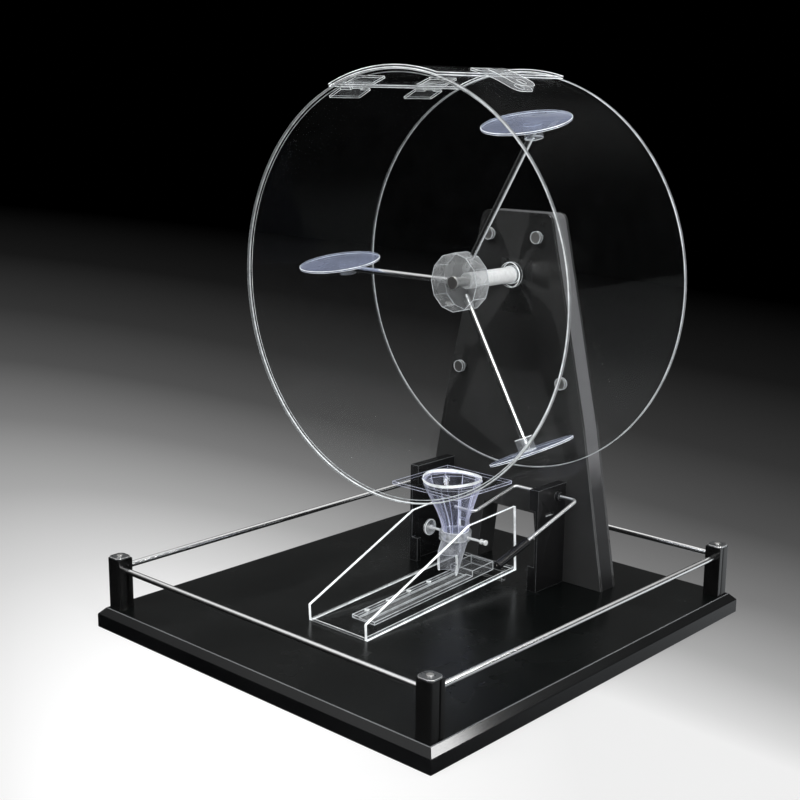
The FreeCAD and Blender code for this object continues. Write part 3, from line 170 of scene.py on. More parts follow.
def grey(level):
    return (shade(level),) * 3


print("mid grey 128 is", round(shade(128), 4), "in linear light")

# %% [markdown]
# ## Floor and surroundings
# Clear plastic has almost no colour of its own: it shows where the light ends. A pale pool of
# floor in front, falling off to a black room behind, gives the sheets bright edges against a
# dark ground. The fall-off is painted into the floor's colour. Distance is measured from one
# point in a turned and stretched measure, so the pool is a long slanting oval. To the right
# the pool is held a little below white.

# %% Paint the pool of light
POOL = (0.965, -0.492, 0)
SLANT = math.radians(76.4)
STRETCH = 3.57
REACH = 3.0
POOL_STOPS = [(0.32, 255), (0.4, 212), (0.49, 168), (0.63, 122),
              (0.82, 80), (1.1, 52), (1.6, 24), (2.5, 0)]
RIGHT_WAY = (0.738, 0.675, 0)
RIGHT_TOP = 0.82
floor_finish = Finish("floor_paint")
floor_spot = floor_finish.place()
floor_shift = floor_finish.add("Mapping", {"vector_type": "TEXTURE"}, Vector=floor_spot,
                               Location=POOL, Rotation=(0, 0, SLANT), Scale=(1, STRETCH, 1))
floor_far = floor_finish.add("VectorMath", {"operation": "LENGTH"}, i0=floor_shift.outputs["Vector"])
floor_part = floor_finish.sum("DIVIDE", floor_far.outputs["Value"], REACH)
floor_pool = floor_finish.ramp(floor_part, [(at / REACH, grey(level)) for at, level in POOL_STOPS])
floor_across = floor_finish.add("VectorMath", {"operation": "DOT_PRODUCT"}, i0=floor_spot, i1=RIGHT_WAY)
floor_top = floor_finish.between(floor_across.outputs["Value"], -0.1, 0.12, 1.0, RIGHT_TOP)
floor_tone = floor_finish.sum("MINIMUM", floor_pool, floor_top)
print("the pool of light is centred", POOL[:2], "m from the base's middle")

# %% [markdown]
# Gloss sees another floor: dark in front, so that the black sheets stay black, and pale at the
# back on the right, where a reflector board would lie. It is one pale tone times a rise along
# X and a rise along Y.

# %% Paint the floor that gloss sees
BOARD_TONE = (0.93, 0.97, 1.0, 1)
DARK_SHARE, RIGHT_SHARE, BACK_SHARE = 0.03, 1.0, 0.9
floor_axes = floor_finish.add("SeparateXYZ", Vector=floor_spot)
floor_side = floor_finish.between(floor_axes.outputs["X"], 0.05, 0.3, DARK_SHARE, RIGHT_SHARE)
floor_deep = floor_finish.between(floor_axes.outputs["Y"], -0.3, 0.3, DARK_SHARE, BACK_SHARE)
floor_mirrored = floor_finish.add("Emission", Color=BOARD_TONE,
                                  Strength=floor_finish.sum("MULTIPLY", floor_side, floor_deep))
print("in gloss the floor's strength is", RIGHT_SHARE * BACK_SHARE, "at the back right")

# %% [markdown]
# The two are put together. Part of the paint glows a little for the camera, which keeps it
# pale without more lamp light on the machine. The rest is plain paint, and takes the
# machine's shadow.

# %% Lay the floor
GLOW_SHARE = 0.85
FLOOR_HALF = 14.0
floor_paint = floor_finish.add("BsdfDiffuse", Color=floor_tone)
floor_glow = floor_finish.add("Emission", Color=floor_tone, Strength=1.0)
floor_seen = floor_finish.add("LightPath")
floor_direct = floor_finish.sum("MAXIMUM", floor_seen.outputs["Is Camera Ray"],
                                floor_seen.outputs["Is Transmission Ray"])
floor_plain = floor_finish.mix(floor_finish.sum("MULTIPLY", floor_direct, GLOW_SHARE),
                               floor_paint.outputs["BSDF"], floor_glow.outputs["Emission"])
floor_blend = floor_finish.mix(floor_seen.outputs["Is Glossy Ray"], floor_plain,
                               floor_mirrored.outputs["Emission"])
floor_corners = [(x * FLOOR_HALF, y * FLOOR_HALF, 0) for x, y in ((-1, -1), (1, -1), (1, 1), (-1, 1))]
floor_mesh = bpy.data.meshes.new("floor")
floor_mesh.from_pydata(floor_corners, [], [(0, 1, 2, 3)])
floor = bpy.data.objects.new("floor", floor_mesh)
floor_mesh.materials.append(floor_finish.finish(floor_blend))
bpy.context.scene.collection.objects.link(floor)
print("floor laid,", FLOOR_HALF * 2, "m wide")

# %% [markdown]
# The room itself has two faces. What the camera sees is black. What gloss sees is dark low
# down, so that the clear sheets keep their depth, and grows to white overhead, as a lit
# ceiling does, so that plated rods have something to mirror. Everything else is lit by a soft
# even light that fills the shadows.

# %% Make the room
ROOM_STOPS = [(0.2, 52), (0.47, 108), (0.62, 232), (0.9, 255)]
FILL = 0.42
room = Finish("room", bpy.data.worlds.new("room"))
bpy.context.scene.world = room.material
room_path = room.add("LightPath")
room_way = room.add("SeparateXYZ", i0=room.add("TexCoord").outputs["Generated"])
room_tone = room.ramp(room_way.outputs["Z"], [(at, grey(level)) for at, level in ROOM_STOPS])
room_fill = room.add("Background", Color=(1, 1, 1, 1), Strength=FILL)
room_black = room.add("Background", Color=(0, 0, 0, 1), Strength=1.0)
room_gloss = room.add("Background", Color=room_tone, Strength=1.0)
room_first = room.mix(room_path.outputs["Is Glossy Ray"], room_fill.outputs[0], room_gloss.outputs[0])
room_direct = room.sum("MAXIMUM", room_path.outputs["Is Camera Ray"],
                       room_path.outputs["Is Transmission Ray"])
room.finish(room.mix(room_direct, room_first, room_black.outputs[0]))
print("room: fill light", FILL, "and black to the camera")

# %% [markdown]
# ## Lamps
# Large soft lamps are used, because gloss shows the lamp itself as a highlight. They hang in
# front and above: seen from the camera, the drum's sheets mirror the back of the room and the
# low front, so lamps that hang there would lie as white patches on the clear plastic. One very
# small lamp stands behind on the right. It gives hardly any light, but the base's bevel mirrors
# it as a white flash by the front corner, which fades along the edge as the polish spreads it.

# %% Hang the lamps
def lamp(name, place, target, size, power):
    """A rectangular soft lamp at a place, turned to face a target."""
    light = bpy.data.lights.new(name, "AREA")
    light.shape = "RECTANGLE"
    light.size, light.size_y = size
    light.energy = power
    made = bpy.data.objects.new(name, light)
    turn = (Vector(target) - Vector(place)).to_track_quat("-Z", "Y").to_matrix().to_4x4()
    made.matrix_world = Matrix.Translation(place) @ turn
    bpy.context.scene.collection.objects.link(made)
    return made


lamp("left_softbox", (-0.5, -2.0, 2.1), (0, 0, 0.25), (1.0, 1.0), 40)
lamp("right_softbox", (2.0, -0.7, 1.3), (0, 0, 0.25), (0.8, 1.2), 32)
lamp("top_softbox", (0.3, -0.3, 2.3), (0, 0, 0.2), (1.2, 1.2), 10)
lamp("bevel_lamp", (0.607, 0.298, 0.466), (0.22, -0.24, 0.017), (0.085, 0.085), 0.6)
print("three lamps hang in front and above, a small one stands behind")

# %% [markdown]
# ## Black finishes
# The base, the tower and the cheeks are black acrylic sheet: a near-black body under a hard
# shine, with faint cloudy wipe marks that only the gloss shows. A cloud of noise moves the
# roughness a little from place to place, and the body's tone with it.

# %% A glossy black sheet
def dulled(colour, share):
    return tuple(part * share for part in colour)


def black_sheet(name, colour, rough, smear, shine=0.25):
    """Near-black body with a clear gloss whose roughness drifts a little from place to place."""
    finish = Finish(name)
    cloud = finish.cloud(9.0, 4.0, 0.6)
    wipe = finish.between(cloud, 0.35, 0.7, rough, rough + smear)
    worn = tuple(part * 1.5 + 0.001 for part in colour)
    tone = finish.ramp(cloud, [(0.35, colour), (0.75, worn)])
    skin = finish.add("BsdfPrincipled", Base_Color=tone, Roughness=wipe, IOR=1.49,
                      Specular_IOR_Level=shine)
    return finish.finish(skin.outputs["BSDF"])


board_gloss = black_sheet("board_gloss", (0.002, 0.0025, 0.0024), 0.2, 0.1, 0.22)
board_bevel = black_sheet("board_bevel", (0.0025, 0.0028, 0.003), 0.13, 0.04, 0.4)
board_side = black_sheet("board_side", (0.0022, 0.0023, 0.0025), 0.14, 0.06, 0.35)
# painted highlight: a pale grey for the corner lines of the base board's bevel
board_highlight_line = black_sheet("board_highlight_line", (0.1, 0.104, 0.108), 0.3, 0.1, 0.5)
black_acrylic = black_sheet("black_acrylic", (0.03, 0.0302, 0.0302), 0.06, 0.06, 0.35)
# painted highlight: a grey for the eased corners of the tower's black sheets
black_highlight_line = black_sheet("black_highlight_line", (0.07, 0.072, 0.074), 0.25, 0.1, 0.5)
# painted highlight: a lighter grey for the eased corners of the cheeks
cheek_highlight_line = black_sheet("cheek_highlight_line", (0.16, 0.165, 0.17), 0.25, 0.1, 0.5)
post_gloss = black_sheet("post_gloss", (0.003, 0.003, 0.003), 0.12, 0.08, 0.4)
print("eight glossy blacks mixed")

# %% [markdown]
# The tower's side band and the cheeks have a satin face. Their colour holds a painted sheen: a
# soft grey, stronger near the top, that stands in for the lamps' light. The tone is a ramp over
# the height, and a slow cloud bends its steps so that they don't lie level.

# %% A satin black sheet
def satin_black(name, stops, rough):
    """Satin acrylic with a painted sheen: stops give (height in metres, tone), bent by a slow cloud."""
    finish = Finish(name)
    height = finish.add("SeparateXYZ", Vector=finish.place()).outputs["Z"]
    drift = finish.between(finish.cloud(14.0, 3.0), 0.3, 0.7, -0.012, 0.012)
    tone = finish.ramp(finish.sum("ADD", height, drift), [(at, (c, c, c * 1.04)) for at, c in stops])
    skin = finish.add("BsdfPrincipled", Base_Color=tone, Roughness=rough, Specular_IOR_Level=0.16)
    return finish.finish(skin.outputs["BSDF"])


band_painted_sheen = satin_black("band_painted_sheen", [(0.02, 0.014), (0.12, 0.026), (0.165, 0.165), (0.4, 0.16)], 0.35)
cheek_painted_sheen = satin_black("cheek_painted_sheen", [(0.02, 0.006), (0.13, 0.014)], 0.25)
print("two satin blacks mixed")

# %% [markdown]
# ## Metal, rubber and moulded plastic
# The rails, arms and screws are plated: almost a mirror, with slightly uneven polish. The
# crank's wire is drawn and plated more roughly, so its highlight is wider. The grip, the
# sleeve and the switch are moulded, with a fine grain that a bump node raises.

# %% Mix the metals and moulded finishes
def metal(name, colour, rough, scale):
    """A polished metal whose roughness varies in fine grains, so that lines of light shimmer."""
    finish = Finish(name)
    grain = finish.cloud(scale, 3.0)
    polish = finish.between(grain, 0.3, 0.7, rough * 0.85, rough * 1.2)
    tone = finish.ramp(grain, [(0.3, dulled(colour, 0.93)), (0.7, colour)])
    skin = finish.add("BsdfPrincipled", Base_Color=tone, Roughness=polish, Metallic=1.0)
    return finish.finish(skin.outputs["BSDF"])


def moulded(name, colour, rough, scale, depth):
    """Moulded plastic or rubber: a plain tone with a fine bump."""
    finish = Finish(name)
    grain = finish.cloud(scale, 4.0)
    tone = finish.ramp(grain, [(0.3, dulled(colour, 0.85)), (0.7, colour)])
    bump = finish.add("Bump", Height=grain, Strength=0.3, Distance=depth)
    skin = finish.add("BsdfPrincipled", Base_Color=tone, Normal=bump.outputs["Normal"],
                      Roughness=rough, Specular_IOR_Level=0.4)
    return finish.finish(skin.outputs["BSDF"])


cap_metal = metal("cap_metal", (0.34, 0.35, 0.36), 0.3, 300.0)
# painted highlight: a bright metal for the eased corners of the post caps
cap_highlight_line = metal("cap_highlight_line", (0.95, 0.95, 0.95), 0.4, 500.0)
chrome = metal("chrome", (0.92, 0.92, 0.92), 0.2, 400.0)
wire_steel = metal("wire_steel", (0.94, 0.94, 0.94), 0.4, 400.0)
screw_steel = metal("screw_steel", (0.75, 0.74, 0.72), 0.34, 500.0)
dark_metal = metal("dark_metal", (0.2, 0.2, 0.21), 0.35, 500.0)
gear_metal = metal("gear_metal", (0.5, 0.5, 0.52), 0.3, 300.0)
switch_red = moulded("switch_red", (0.42, 0.012, 0.012), 0.22, 300.0, 0.0001)
grip_black = moulded("grip_black", (0.005, 0.005, 0.006), 0.25, 600.0, 0.0001)
sleeve_white = moulded("sleeve_white", (0.9, 0.91, 0.91), 0.35, 260.0, 0.0002)
print("seven metals and three moulded finishes mixed")

# %% [markdown]
# ## Clear acrylic
# A clear sheet is seen by three things: a faint mirror on its faces that grows toward grazing
# angles, a very slight loss of light going through, and a bright line along every cut edge,
# where the light that travels inside the sheet comes out. Real refraction through thin flat
# sheets moves nothing that the eye can see, so the face lets light straight through, and the
# mirror share follows the usual fifth-power rule: four parts in a hundred face on, most of it
# at grazing. Thick or frosted pieces get some milk, in clouds.

# %% Mix the clear faces
def clear_sheet(name, tint, milk, milk_tone, rough=0.03, mirror=1.0, scale=45.0, swing=0.4, rim=0.0):
    """Straight-through sheet: mirror share = (0.04 + 0.86 * facing^5) * mirror, plus some milk
    that clouds of the given scale make thicker and thinner by the swing. rim adds milk where the
    face is seen edge on: rim * facing^3, as the light passes more plastic there."""
    finish = Finish(name)
    facing = finish.add("LayerWeight", Blend=0.5).outputs["Facing"]
    share = finish.between(finish.sum("POWER", facing, 5.0), 0.0, 1.0, 0.04 * mirror, 0.9 * mirror)
    through = finish.add("BsdfTransparent", Color=(*tint, 1))
    gloss = finish.add("BsdfAnisotropic", Color=(1, 1, 1, 1), Roughness=rough)
    sheet = finish.mix(share, through.outputs[0], gloss.outputs[0])
    cloud = finish.cloud(scale, 3.0)
    amount = finish.between(cloud, 0.35, 0.65, milk * (1 - swing), milk * (1 + swing))
    more = finish.sum("MULTIPLY_ADD", finish.sum("POWER", facing, 3.0), rim, amount)
    body = finish.add("BsdfDiffuse", Color=(*milk_tone, 1))
    back = finish.add("BsdfTranslucent", Color=(*milk_tone, 1))
    return finish.finish(finish.mix(more, sheet, finish.mix(0.5, body.outputs[0], back.outputs[0])))


PALE, FROST, LIGHT = (0.8, 0.83, 0.85), (0.88, 0.9, 0.91), (0.9, 0.92, 0.93)
clear_face = clear_sheet("clear_face", (0.965, 0.968, 0.968), 0.002, PALE, 0.03, 0.12)
wall_face = clear_sheet("wall_face", (0.964, 0.966, 0.966), 0.001, PALE, 0.03, 0.06)
block_face = clear_sheet("block_face", (0.95, 0.96, 0.965), 0.04, PALE, 0.06, 0.4)
frost_face = clear_sheet("frost_face", (0.9, 0.91, 0.915), 0.2, FROST, 0.12, 0.8)
disc_face = clear_sheet("disc_face", (0.92, 0.92, 0.92), 0.42, LIGHT, 0.1, 1.0, 130.0, 0.6)
hub_face = clear_sheet("hub_face", (0.93, 0.935, 0.94), 0.16, LIGHT, 0.08, 1.0, 26.0, 0.9, 0.3)
strip_face = clear_sheet("strip_face", (0.93, 0.94, 0.94), 0.12, (0.82, 0.84, 0.86),
                         0.08, 0.8, 45.0, 0.5)
lilac_face = clear_sheet("lilac_face", (0.94, 0.95, 0.99), 0.06, (0.72, 0.74, 0.9),
                         0.05, 1.0, 60.0, 0.7, 1.5)
spout_face = clear_sheet("spout_face", (0.96, 0.965, 0.99), 0.14, (0.88, 0.9, 0.94),
                         0.05, 1.0, 90.0, 0.9, 2.0)
paddle_face = clear_sheet("paddle_face", (0.83, 0.87, 0.95), 0.26, (0.65, 0.71, 0.93),
                          0.05, 1.0, 20.0, 0.15)
print("ten clear faces mixed")

# %% [markdown]
# The cut edge is its own finish: milky and broken along its length, as a saw-cut and polished
# edge is, with a painted glow for the light that the sheet carries out to its edges. On the
# drum the edge is painted brighter low down, where the pale floor would light it.

# %% Mix the cut edges
def cut_edge(name, tone, glow, solid, scale=60.0, low=1.0):
    """A cut edge: a milky body with a painted glow, stronger and weaker along its length.
    low is how many times brighter it is painted near the pale floor than at the drum's top."""
    finish = Finish(name)
    light = finish.ramp(finish.cloud(scale, 3.0, 0.6), [(0.3, dulled(tone, 0.55)), (0.62, tone)])
    height = finish.add("SeparateXYZ", Vector=finish.place()).outputs["Z"]
    floor_light_lift = finish.between(height, 0.45, 0.15, 1.0, low)
    light = finish.add("VectorMath", {"operation": "SCALE"}, i0=light, Scale=floor_light_lift).outputs["Vector"]
    # painted glow: the emission stands in for the light that the sheet carries to its edges
    skin = finish.add("BsdfPrincipled", Base_Color=light, Emission_Color=light, Roughness=0.3,
                      Emission_Strength=glow)
    through = finish.add("BsdfTransparent", Color=(1, 1, 1, 1))
    return finish.finish(finish.mix(solid, through.outputs[0], skin.outputs[0]))


clear_edge = cut_edge("clear_edge", (0.9, 0.93, 0.94), 0.6, 0.97)
rim_band = cut_edge("rim_band", (0.2, 0.21, 0.215), 0.12, 0.7, 140.0)
rim_line = cut_edge("rim_line", (0.44, 0.46, 0.47), 0.2, 0.95, 110.0, 1.8)
thin_edge = cut_edge("thin_edge", (0.62, 0.65, 0.67), 0.25, 0.75)
lilac_line = cut_edge("lilac_line", (0.74, 0.76, 0.9), 0.45, 0.75, 90.0)
strip_line = cut_edge("strip_line", (0.56, 0.58, 0.6), 0.4, 0.85, 90.0)
faint_edge = cut_edge("faint_edge", (0.4, 0.42, 0.44), 0.12, 0.35)
lilac_edge = cut_edge("lilac_edge", (0.8, 0.84, 0.98), 0.6, 0.9)
print("eight cut edges mixed")

# %% [markdown]
# Every solid of the frame first gets the finish of its own kind. The record names a kind for
# each node, so one table is enough. Pieces that need more are finished again below.

# %% Dress the solids
FINISHES = {
    "black_board": board_gloss, "black_acrylic": black_acrylic, "post_metal": post_gloss,
    "chrome": chrome, "dark_metal": dark_metal, "gear_metal": gear_metal,
    "clear_acrylic": clear_face, "tinted_acrylic": lilac_face, "frosted_white": sleeve_white,
    "switch_red": switch_red, "grip_black": grip_black,
}
slots = {part["node"]: part["material_slot"] for part in frame["record"]["subparts"]}
for name, thing in frame["nodes"].items():
    thing.data.materials.clear()
    thing.data.materials.append(FINISHES[slots[name]])
print("solids dressed in", len(set(slots.values())), "kinds of finish")

# %% [markdown]
# ## Helpers for finished pieces
# A finished piece takes the place of a solid and moves with the solid's body. Before that, its
# mesh is settled: modifiers are worked out, faces are shaded smooth, and edges steeper than
# an angle stay sharp, because smooth shading across a sharp corner smears the reflections.

# %% Settle a piece and let it stand in
import bmesh

BODIES = frame["record"]["behaviour"]["bodies"]
BODY_OF = {node: body for body, nodes in BODIES.items() for node in nodes}
SHARP = 35.0


def settle(thing, sharp=SHARP):
    """Works out the modifiers once, keeps the result as the mesh, and marks its sharp edges."""
    bpy.context.scene.collection.objects.link(thing)
    bpy.context.view_layer.update()
    ready = bpy.data.meshes.new_from_object(thing.evaluated_get(bpy.context.evaluated_depsgraph_get()))
    thing.modifiers.clear()
    thing.data = ready
    ready.shade_smooth()
    ready.set_sharp_from_angle(angle=math.radians(sharp))
    return thing


def stand_in(thing, *nodes):
    """Lets a finished piece ride on its nodes' body and stand for them."""
    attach(thing, BODY_OF[nodes[0]])
    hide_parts(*nodes)
    return thing


print("bodies:", sorted(BODIES))

# %% [markdown]
# ## Eased edges
# No cut sheet has a perfectly sharp corner. A few tenths of a millimetre of rounding draw the
# thin line of light round a real part. For a piece whose solid already has the right form,
# a copy is taken, its loose triangles are joined, flat neighbours are merged, and a bevel runs
# along every sharp edge. The bevel can carry a finish of its own, so a clear piece gets bright
# lines on all its corners from the same step. A cut face, one that looks away from the sheet's
# own direction, gets the edge finish too.

# %% Ease the edges of a solid
CX = -0.006
ARCH_HALF = 0.036
TOUCHING, LEVEL = 2e-6, 2e-5
FLAT, CORNER = math.radians(0.4), math.radians(30)


def joined(mesh):
    """A working copy of a solid's mesh, with its triangles joined and its flat faces merged."""
    work = bmesh.new()
    work.from_mesh(mesh)
    bmesh.ops.remove_doubles(work, verts=work.verts, dist=TOUCHING)
    bmesh.ops.dissolve_limit(work, angle_limit=FLAT, verts=work.verts, edges=work.edges)
    return work


def eased(node, ease, finishes, sheet_way=None, seam=None, bounds=(0.7,), sharp=20.0):
    """finishes: (face, cut face, corner line); sheet_way: the direction the sheet's faces look;
    seam: a height at which long level edges stay square. A face takes finish number k when k of
    the bounds are above |normal . sheet_way|. Steps above the sharp angle are shaded flat."""
    mesh = frame["nodes"][node].data.copy()
    work = joined(mesh)
    weight = work.edges.layers.float.new("bevel_weight_edge")
    for edge in work.edges:
        level = seam is not None and all(abs(v.co.z - seam) < LEVEL for v in edge.verts)
        wide = max(abs(v.co.x - CX) for v in edge.verts) > ARCH_HALF
        edge[weight] = float(edge.calc_face_angle(0) > CORNER and not (level and wide))
    work.to_mesh(mesh)
    work.free()
    mesh.materials.clear()
    for finish in finishes:
        mesh.materials.append(finish)
    if sheet_way is not None:
        ways = np.empty(len(mesh.polygons) * 3)
        mesh.polygons.foreach_get("normal", ways)
        along = np.abs(ways.reshape(-1, 3) @ np.array(sheet_way))
        which = (along[:, None] < np.array(bounds)).sum(axis=1)
        mesh.polygons.foreach_set("material_index", which.astype(np.int32))
    thing = bpy.data.objects.new(node + "_eased", mesh)
    if ease:
        bevel = thing.modifiers.new("ease", "BEVEL")
        bevel.width = ease
        bevel.segments = 2
        bevel.limit_method = "WEIGHT"
        bevel.use_clamp_overlap = True
        bevel.material = len(finishes) - 1
    settle(thing, sharp if ease else SHARP)
    return stand_in(thing, node)


print("corners steeper than", round(math.degrees(CORNER)), "degrees are eased")

# %% [markdown]
# Now and then a few faces of a finished piece need another finish. They are found by where
# they are and where they look, all at once in arrays.

# %% Repaint chosen faces
def repaint(thing, old, new, test):
    """Gives finish number new to the faces of finish old for which test(middle, normal) holds."""
    faces = thing.data.polygons
    middles, ways = np.empty(len(faces) * 3), np.empty(len(faces) * 3)
    faces.foreach_get("center", middles)
    faces.foreach_get("normal", ways)
    kinds = np.empty(len(faces), dtype=np.int32)
    faces.foreach_get("material_index", kinds)
    chosen = test(middles.reshape(-1, 3), ways.reshape(-1, 3)) & (kinds == old)
    faces.foreach_set("material_index", np.where(chosen, new, kinds).astype(np.int32))
    return int(chosen.sum())


print("repaint is ready")

# %% [markdown]
# ## The black pieces
# The base is a board with a milled and polished bevel. Only the upper corner of the bevel keeps
# its pale grey line, a painted highlight; the lower corners are repainted with the side's black.

# %% Ease the black pieces
BOARD_CORNER = 0.0195
board = eased("base_board", 0.0006, (board_gloss, board_bevel, board_side, board_highlight_line), (0, 0, 1),
              bounds=(0.9, 0.3), sharp=8.0)
print("plain corners:", repaint(board, 3, 2, lambda middle, way: middle[:, 2] < BOARD_CORNER), "faces")
eased("tower_outer_band", 0.0003, (band_painted_sheen, black_highlight_line))
for node in ("crank_cheek_right", "crank_cheek_left"):
    eased(node, 0.0003, (cheek_painted_sheen, cheek_highlight_line))
for corner in ("front_left", "front_right", "rear_left", "rear_right"):
    eased("corner_post_" + corner, 0.0003, (post_gloss, post_gloss))
eased("post_caps", 0.0004, (cap_metal, cap_highlight_line))
print("black pieces eased")

# %% [markdown]
# The tower's front sheet, its legs and the back cover are separate solids that meet along a
# level seam at the arch's top. On the real tower each sheet is cut in one piece, so the seam
# must not show: its edges are left square, and the flush faces read as one. The sharp angle
# is small here, which keeps the large flat faces flat right up to their holes.

# %% Ease the tower
ARCH_TOP = 0.088
for node in ("tower_front_panel", "tower_back_cover", "tower_legs"):
    eased(node, 0.0003, (black_acrylic, black_highlight_line), seam=ARCH_TOP, sharp=4.0)
print("tower eased, seam left square at", ARCH_TOP * 1000, "mm")

# %% [markdown]
# Rods need no bevel. Their solids are only joined and shaded smooth, so that one long
# highlight runs along them. Screw heads, the grip and the sleeve are turned parts with a
# slight round at their rims.

# %% Smooth the rods and screws
for node in ("rail_front", "rail_rear", "rail_left", "rail_right", "arm_left", "arm_upper", "arm_lower"):
    eased(node, 0.0, (chrome,))
eased("crank_wire", 0.0, (wire_steel,))
for node in ("drum_screws", "post_cap_screws", "tower_cover_screws"):
    eased(node, 0.0003, (screw_steel,))
eased("crank_grip", 0.0006, (grip_black,))
eased("shaft_sleeve", 0.0005, (sleeve_white,))
eased("rotor_shaft", 0.0004, (screw_steel,))
print("rods smoothed")

# %% [markdown]
# Inside, the right cheek's sight slot is painted white: a painted highlight, a short white line.

# %% Paint a highlight into the slot
cheek = bpy.data.objects["crank_cheek_right_eased"]
# painted highlight: the slot's level faces take the white sleeve finish
cheek.data.materials.append(sleeve_white)
SLOT_LOW, SLOT_HIGH = np.array([0.06, 0.105, 0.1]), np.array([0.0712, 0.128, 0.1045])


def in_slot(middle, way):
    return ((middle > SLOT_LOW) & (middle < SLOT_HIGH)).all(axis=1) & (np.abs(way[:, 2]) > 0.6)


print("slot faces polished:", repaint(cheek, 0, 2, in_slot))

# %% [markdown]
# ## Corner lines
# On a moulded or glued clear piece the facets are small and many, too small for a bevel to
# find room. Their corners are drawn instead by thin bars of the edge finish, one along every
# sharp corner of the solid. Every bar is a square prism: its two ends are the ends of the
# corner, and its four long edges stand off by the same small amount to each side.

# %% Draw lines along corners
# the bars carry cut-edge finishes, so each corner is drawn by a painted glow
BAR = np.array([[0, 1, 5, 4], [1, 2, 6, 5], [2, 3, 7, 6], [3, 0, 4, 7], [3, 2, 1, 0], [4, 5, 6, 7]])


def edge_lines(node, half, finish, limit=25.0, shortest=0.0012, pin=None):
    """bar corner = corner end +- half * u +- half * v, where u and v stand square to the corner.
    pin: (x, z, reach) of a pin along y; corners within its reach stay bare, so a knuckle turns."""
    work = joined(frame["nodes"][node].data)
    sharp = [edge for edge in work.edges if edge.calc_face_angle(0) > math.radians(limit)]
    ends = np.array([[vert.co[:] for vert in edge.verts] for edge in sharp])
    work.free()
    along = ends[:, 1] - ends[:, 0]
    long = np.linalg.norm(along, axis=1)
    ends, along = ends[long > shortest], (along / long[:, None])[long > shortest]
    if pin is not None:
        off = ends.mean(axis=1)[:, ::2] - pin[:2]
        clear = np.hypot(*off.T) > pin[2]
        ends, along = ends[clear], along[clear]
    helper = np.where(np.abs(along[:, 2:3]) < 0.8, [[0.0, 0.0, 1.0]], [[1.0, 0.0, 0.0]])
    u = np.cross(along, helper)
    u /= np.linalg.norm(u, axis=1)[:, None]
    v = np.cross(along, u)
    around = half * np.stack([u + v, v - u, -u - v, u - v], axis=1)
    points = ends[:, :, None, :] + around[:, None, :, :]
    faces = (np.arange(len(ends))[:, None, None] * 8 + BAR).reshape(-1, 4)
    mesh = bpy.data.meshes.new(node + "_lines")
    mesh.from_pydata(points.reshape(-1, 3), [], faces)
    mesh.materials.append(finish)
    thing = bpy.data.objects.new(node + "_lines", mesh)
    bpy.context.scene.collection.objects.link(thing)
    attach(thing, BODY_OF[node])
    return len(ends)


print("the funnel has", edge_lines("outlet_funnel", 0.00016, lilac_line, 18.0), "corner lines")

# %% [markdown]
# ## The clear pieces
# Sheets are eased, with clear faces, milky cut faces and bright corners. Small moulded pieces
# keep the corners of their solids, and get their lines in the next step. The tray slopes, so
# the direction that its floor faces is turned by the same angle.

# %% Ease the clear pieces
TRAY_TILT = math.radians(3.1)
TRAY_UP = (0, -math.sin(TRAY_TILT), math.cos(TRAY_TILT))
SHEET = (clear_face, clear_edge, clear_edge)
DISC = (disc_face, clear_edge, clear_edge)
CLEAR_PIECES = [
    ("tray_wall_left", 0.0003, SHEET, (1, 0, 0)),
    ("tray_wall_right", 0.0003, SHEET, (1, 0, 0)),
    ("tray_floor", 0.0003, (clear_face, faint_edge, clear_edge), TRAY_UP),
    ("guide_ramp", 0.0, (strip_face,), None),
    ("ramp_screws", 0.0003, DISC, None),
    ("tray_prop", 0.0003, (clear_face, thin_edge, thin_edge), None),
    ("hinge_lid_leaves", 0.0, (block_face,), None),
    ("hinge_wall_leaves", 0.0, (block_face,), None),
    ("latch_base", 0.0, (block_face,), None),
    ("latch_strap", 0.0, (frost_face,), None),
    ("latch_stud", 0.0, (clear_face,), None),
    ("outlet_funnel", 0.0, (lilac_face, clear_face), None),
    ("outlet_spout", 0.0, (spout_face,), None),
    ("outlet_collar", 0.0, (disc_face,), None),
    ("outlet_stays", 0.0003, (sleeve_white, sleeve_white, sleeve_white), None),
    ("stay_disc", 0.0004, DISC, None),
    ("rotor_hub", 0.0, (hub_face,), None),
    ("shaft_flange", 0.0005, (block_face, clear_edge, clear_edge), None),
]
for arm in ("left", "upper", "lower"):
    CLEAR_PIECES.append(("paddle_clamp_" + arm, 0.0005, (frost_face, clear_edge, clear_edge), None))
    CLEAR_PIECES.append(("paddle_" + arm, 0.0005, (paddle_face, lilac_edge, clear_edge), None))
for node, ease, finishes, sheet_way in CLEAR_PIECES:
    eased(node, ease, finishes, sheet_way)
print("clear pieces eased:", len(CLEAR_PIECES))

# %% [markdown]
# The funnel hangs from a square flange, which is flat sheet and stays clear, while the funnel
# below it is tinted.

# %% Clear the funnel's flange
FLANGE_LOW = 0.11


def on_flange(middle, way):
    return (np.abs(way[:, 2]) > 0.9) & (middle[:, 2] > FLANGE_LOW)


print("flange faces:", repaint(bpy.data.objects["outlet_funnel_eased"], 0, 1, on_flange))

# %% [markdown]
# The lines of the other pieces follow. Round rims are made of short chords, so the screw heads
# and the strap keep even the shortest ones. On the latch the lines stay off the knuckle, or
# they would scrape there when the strap turns right over.

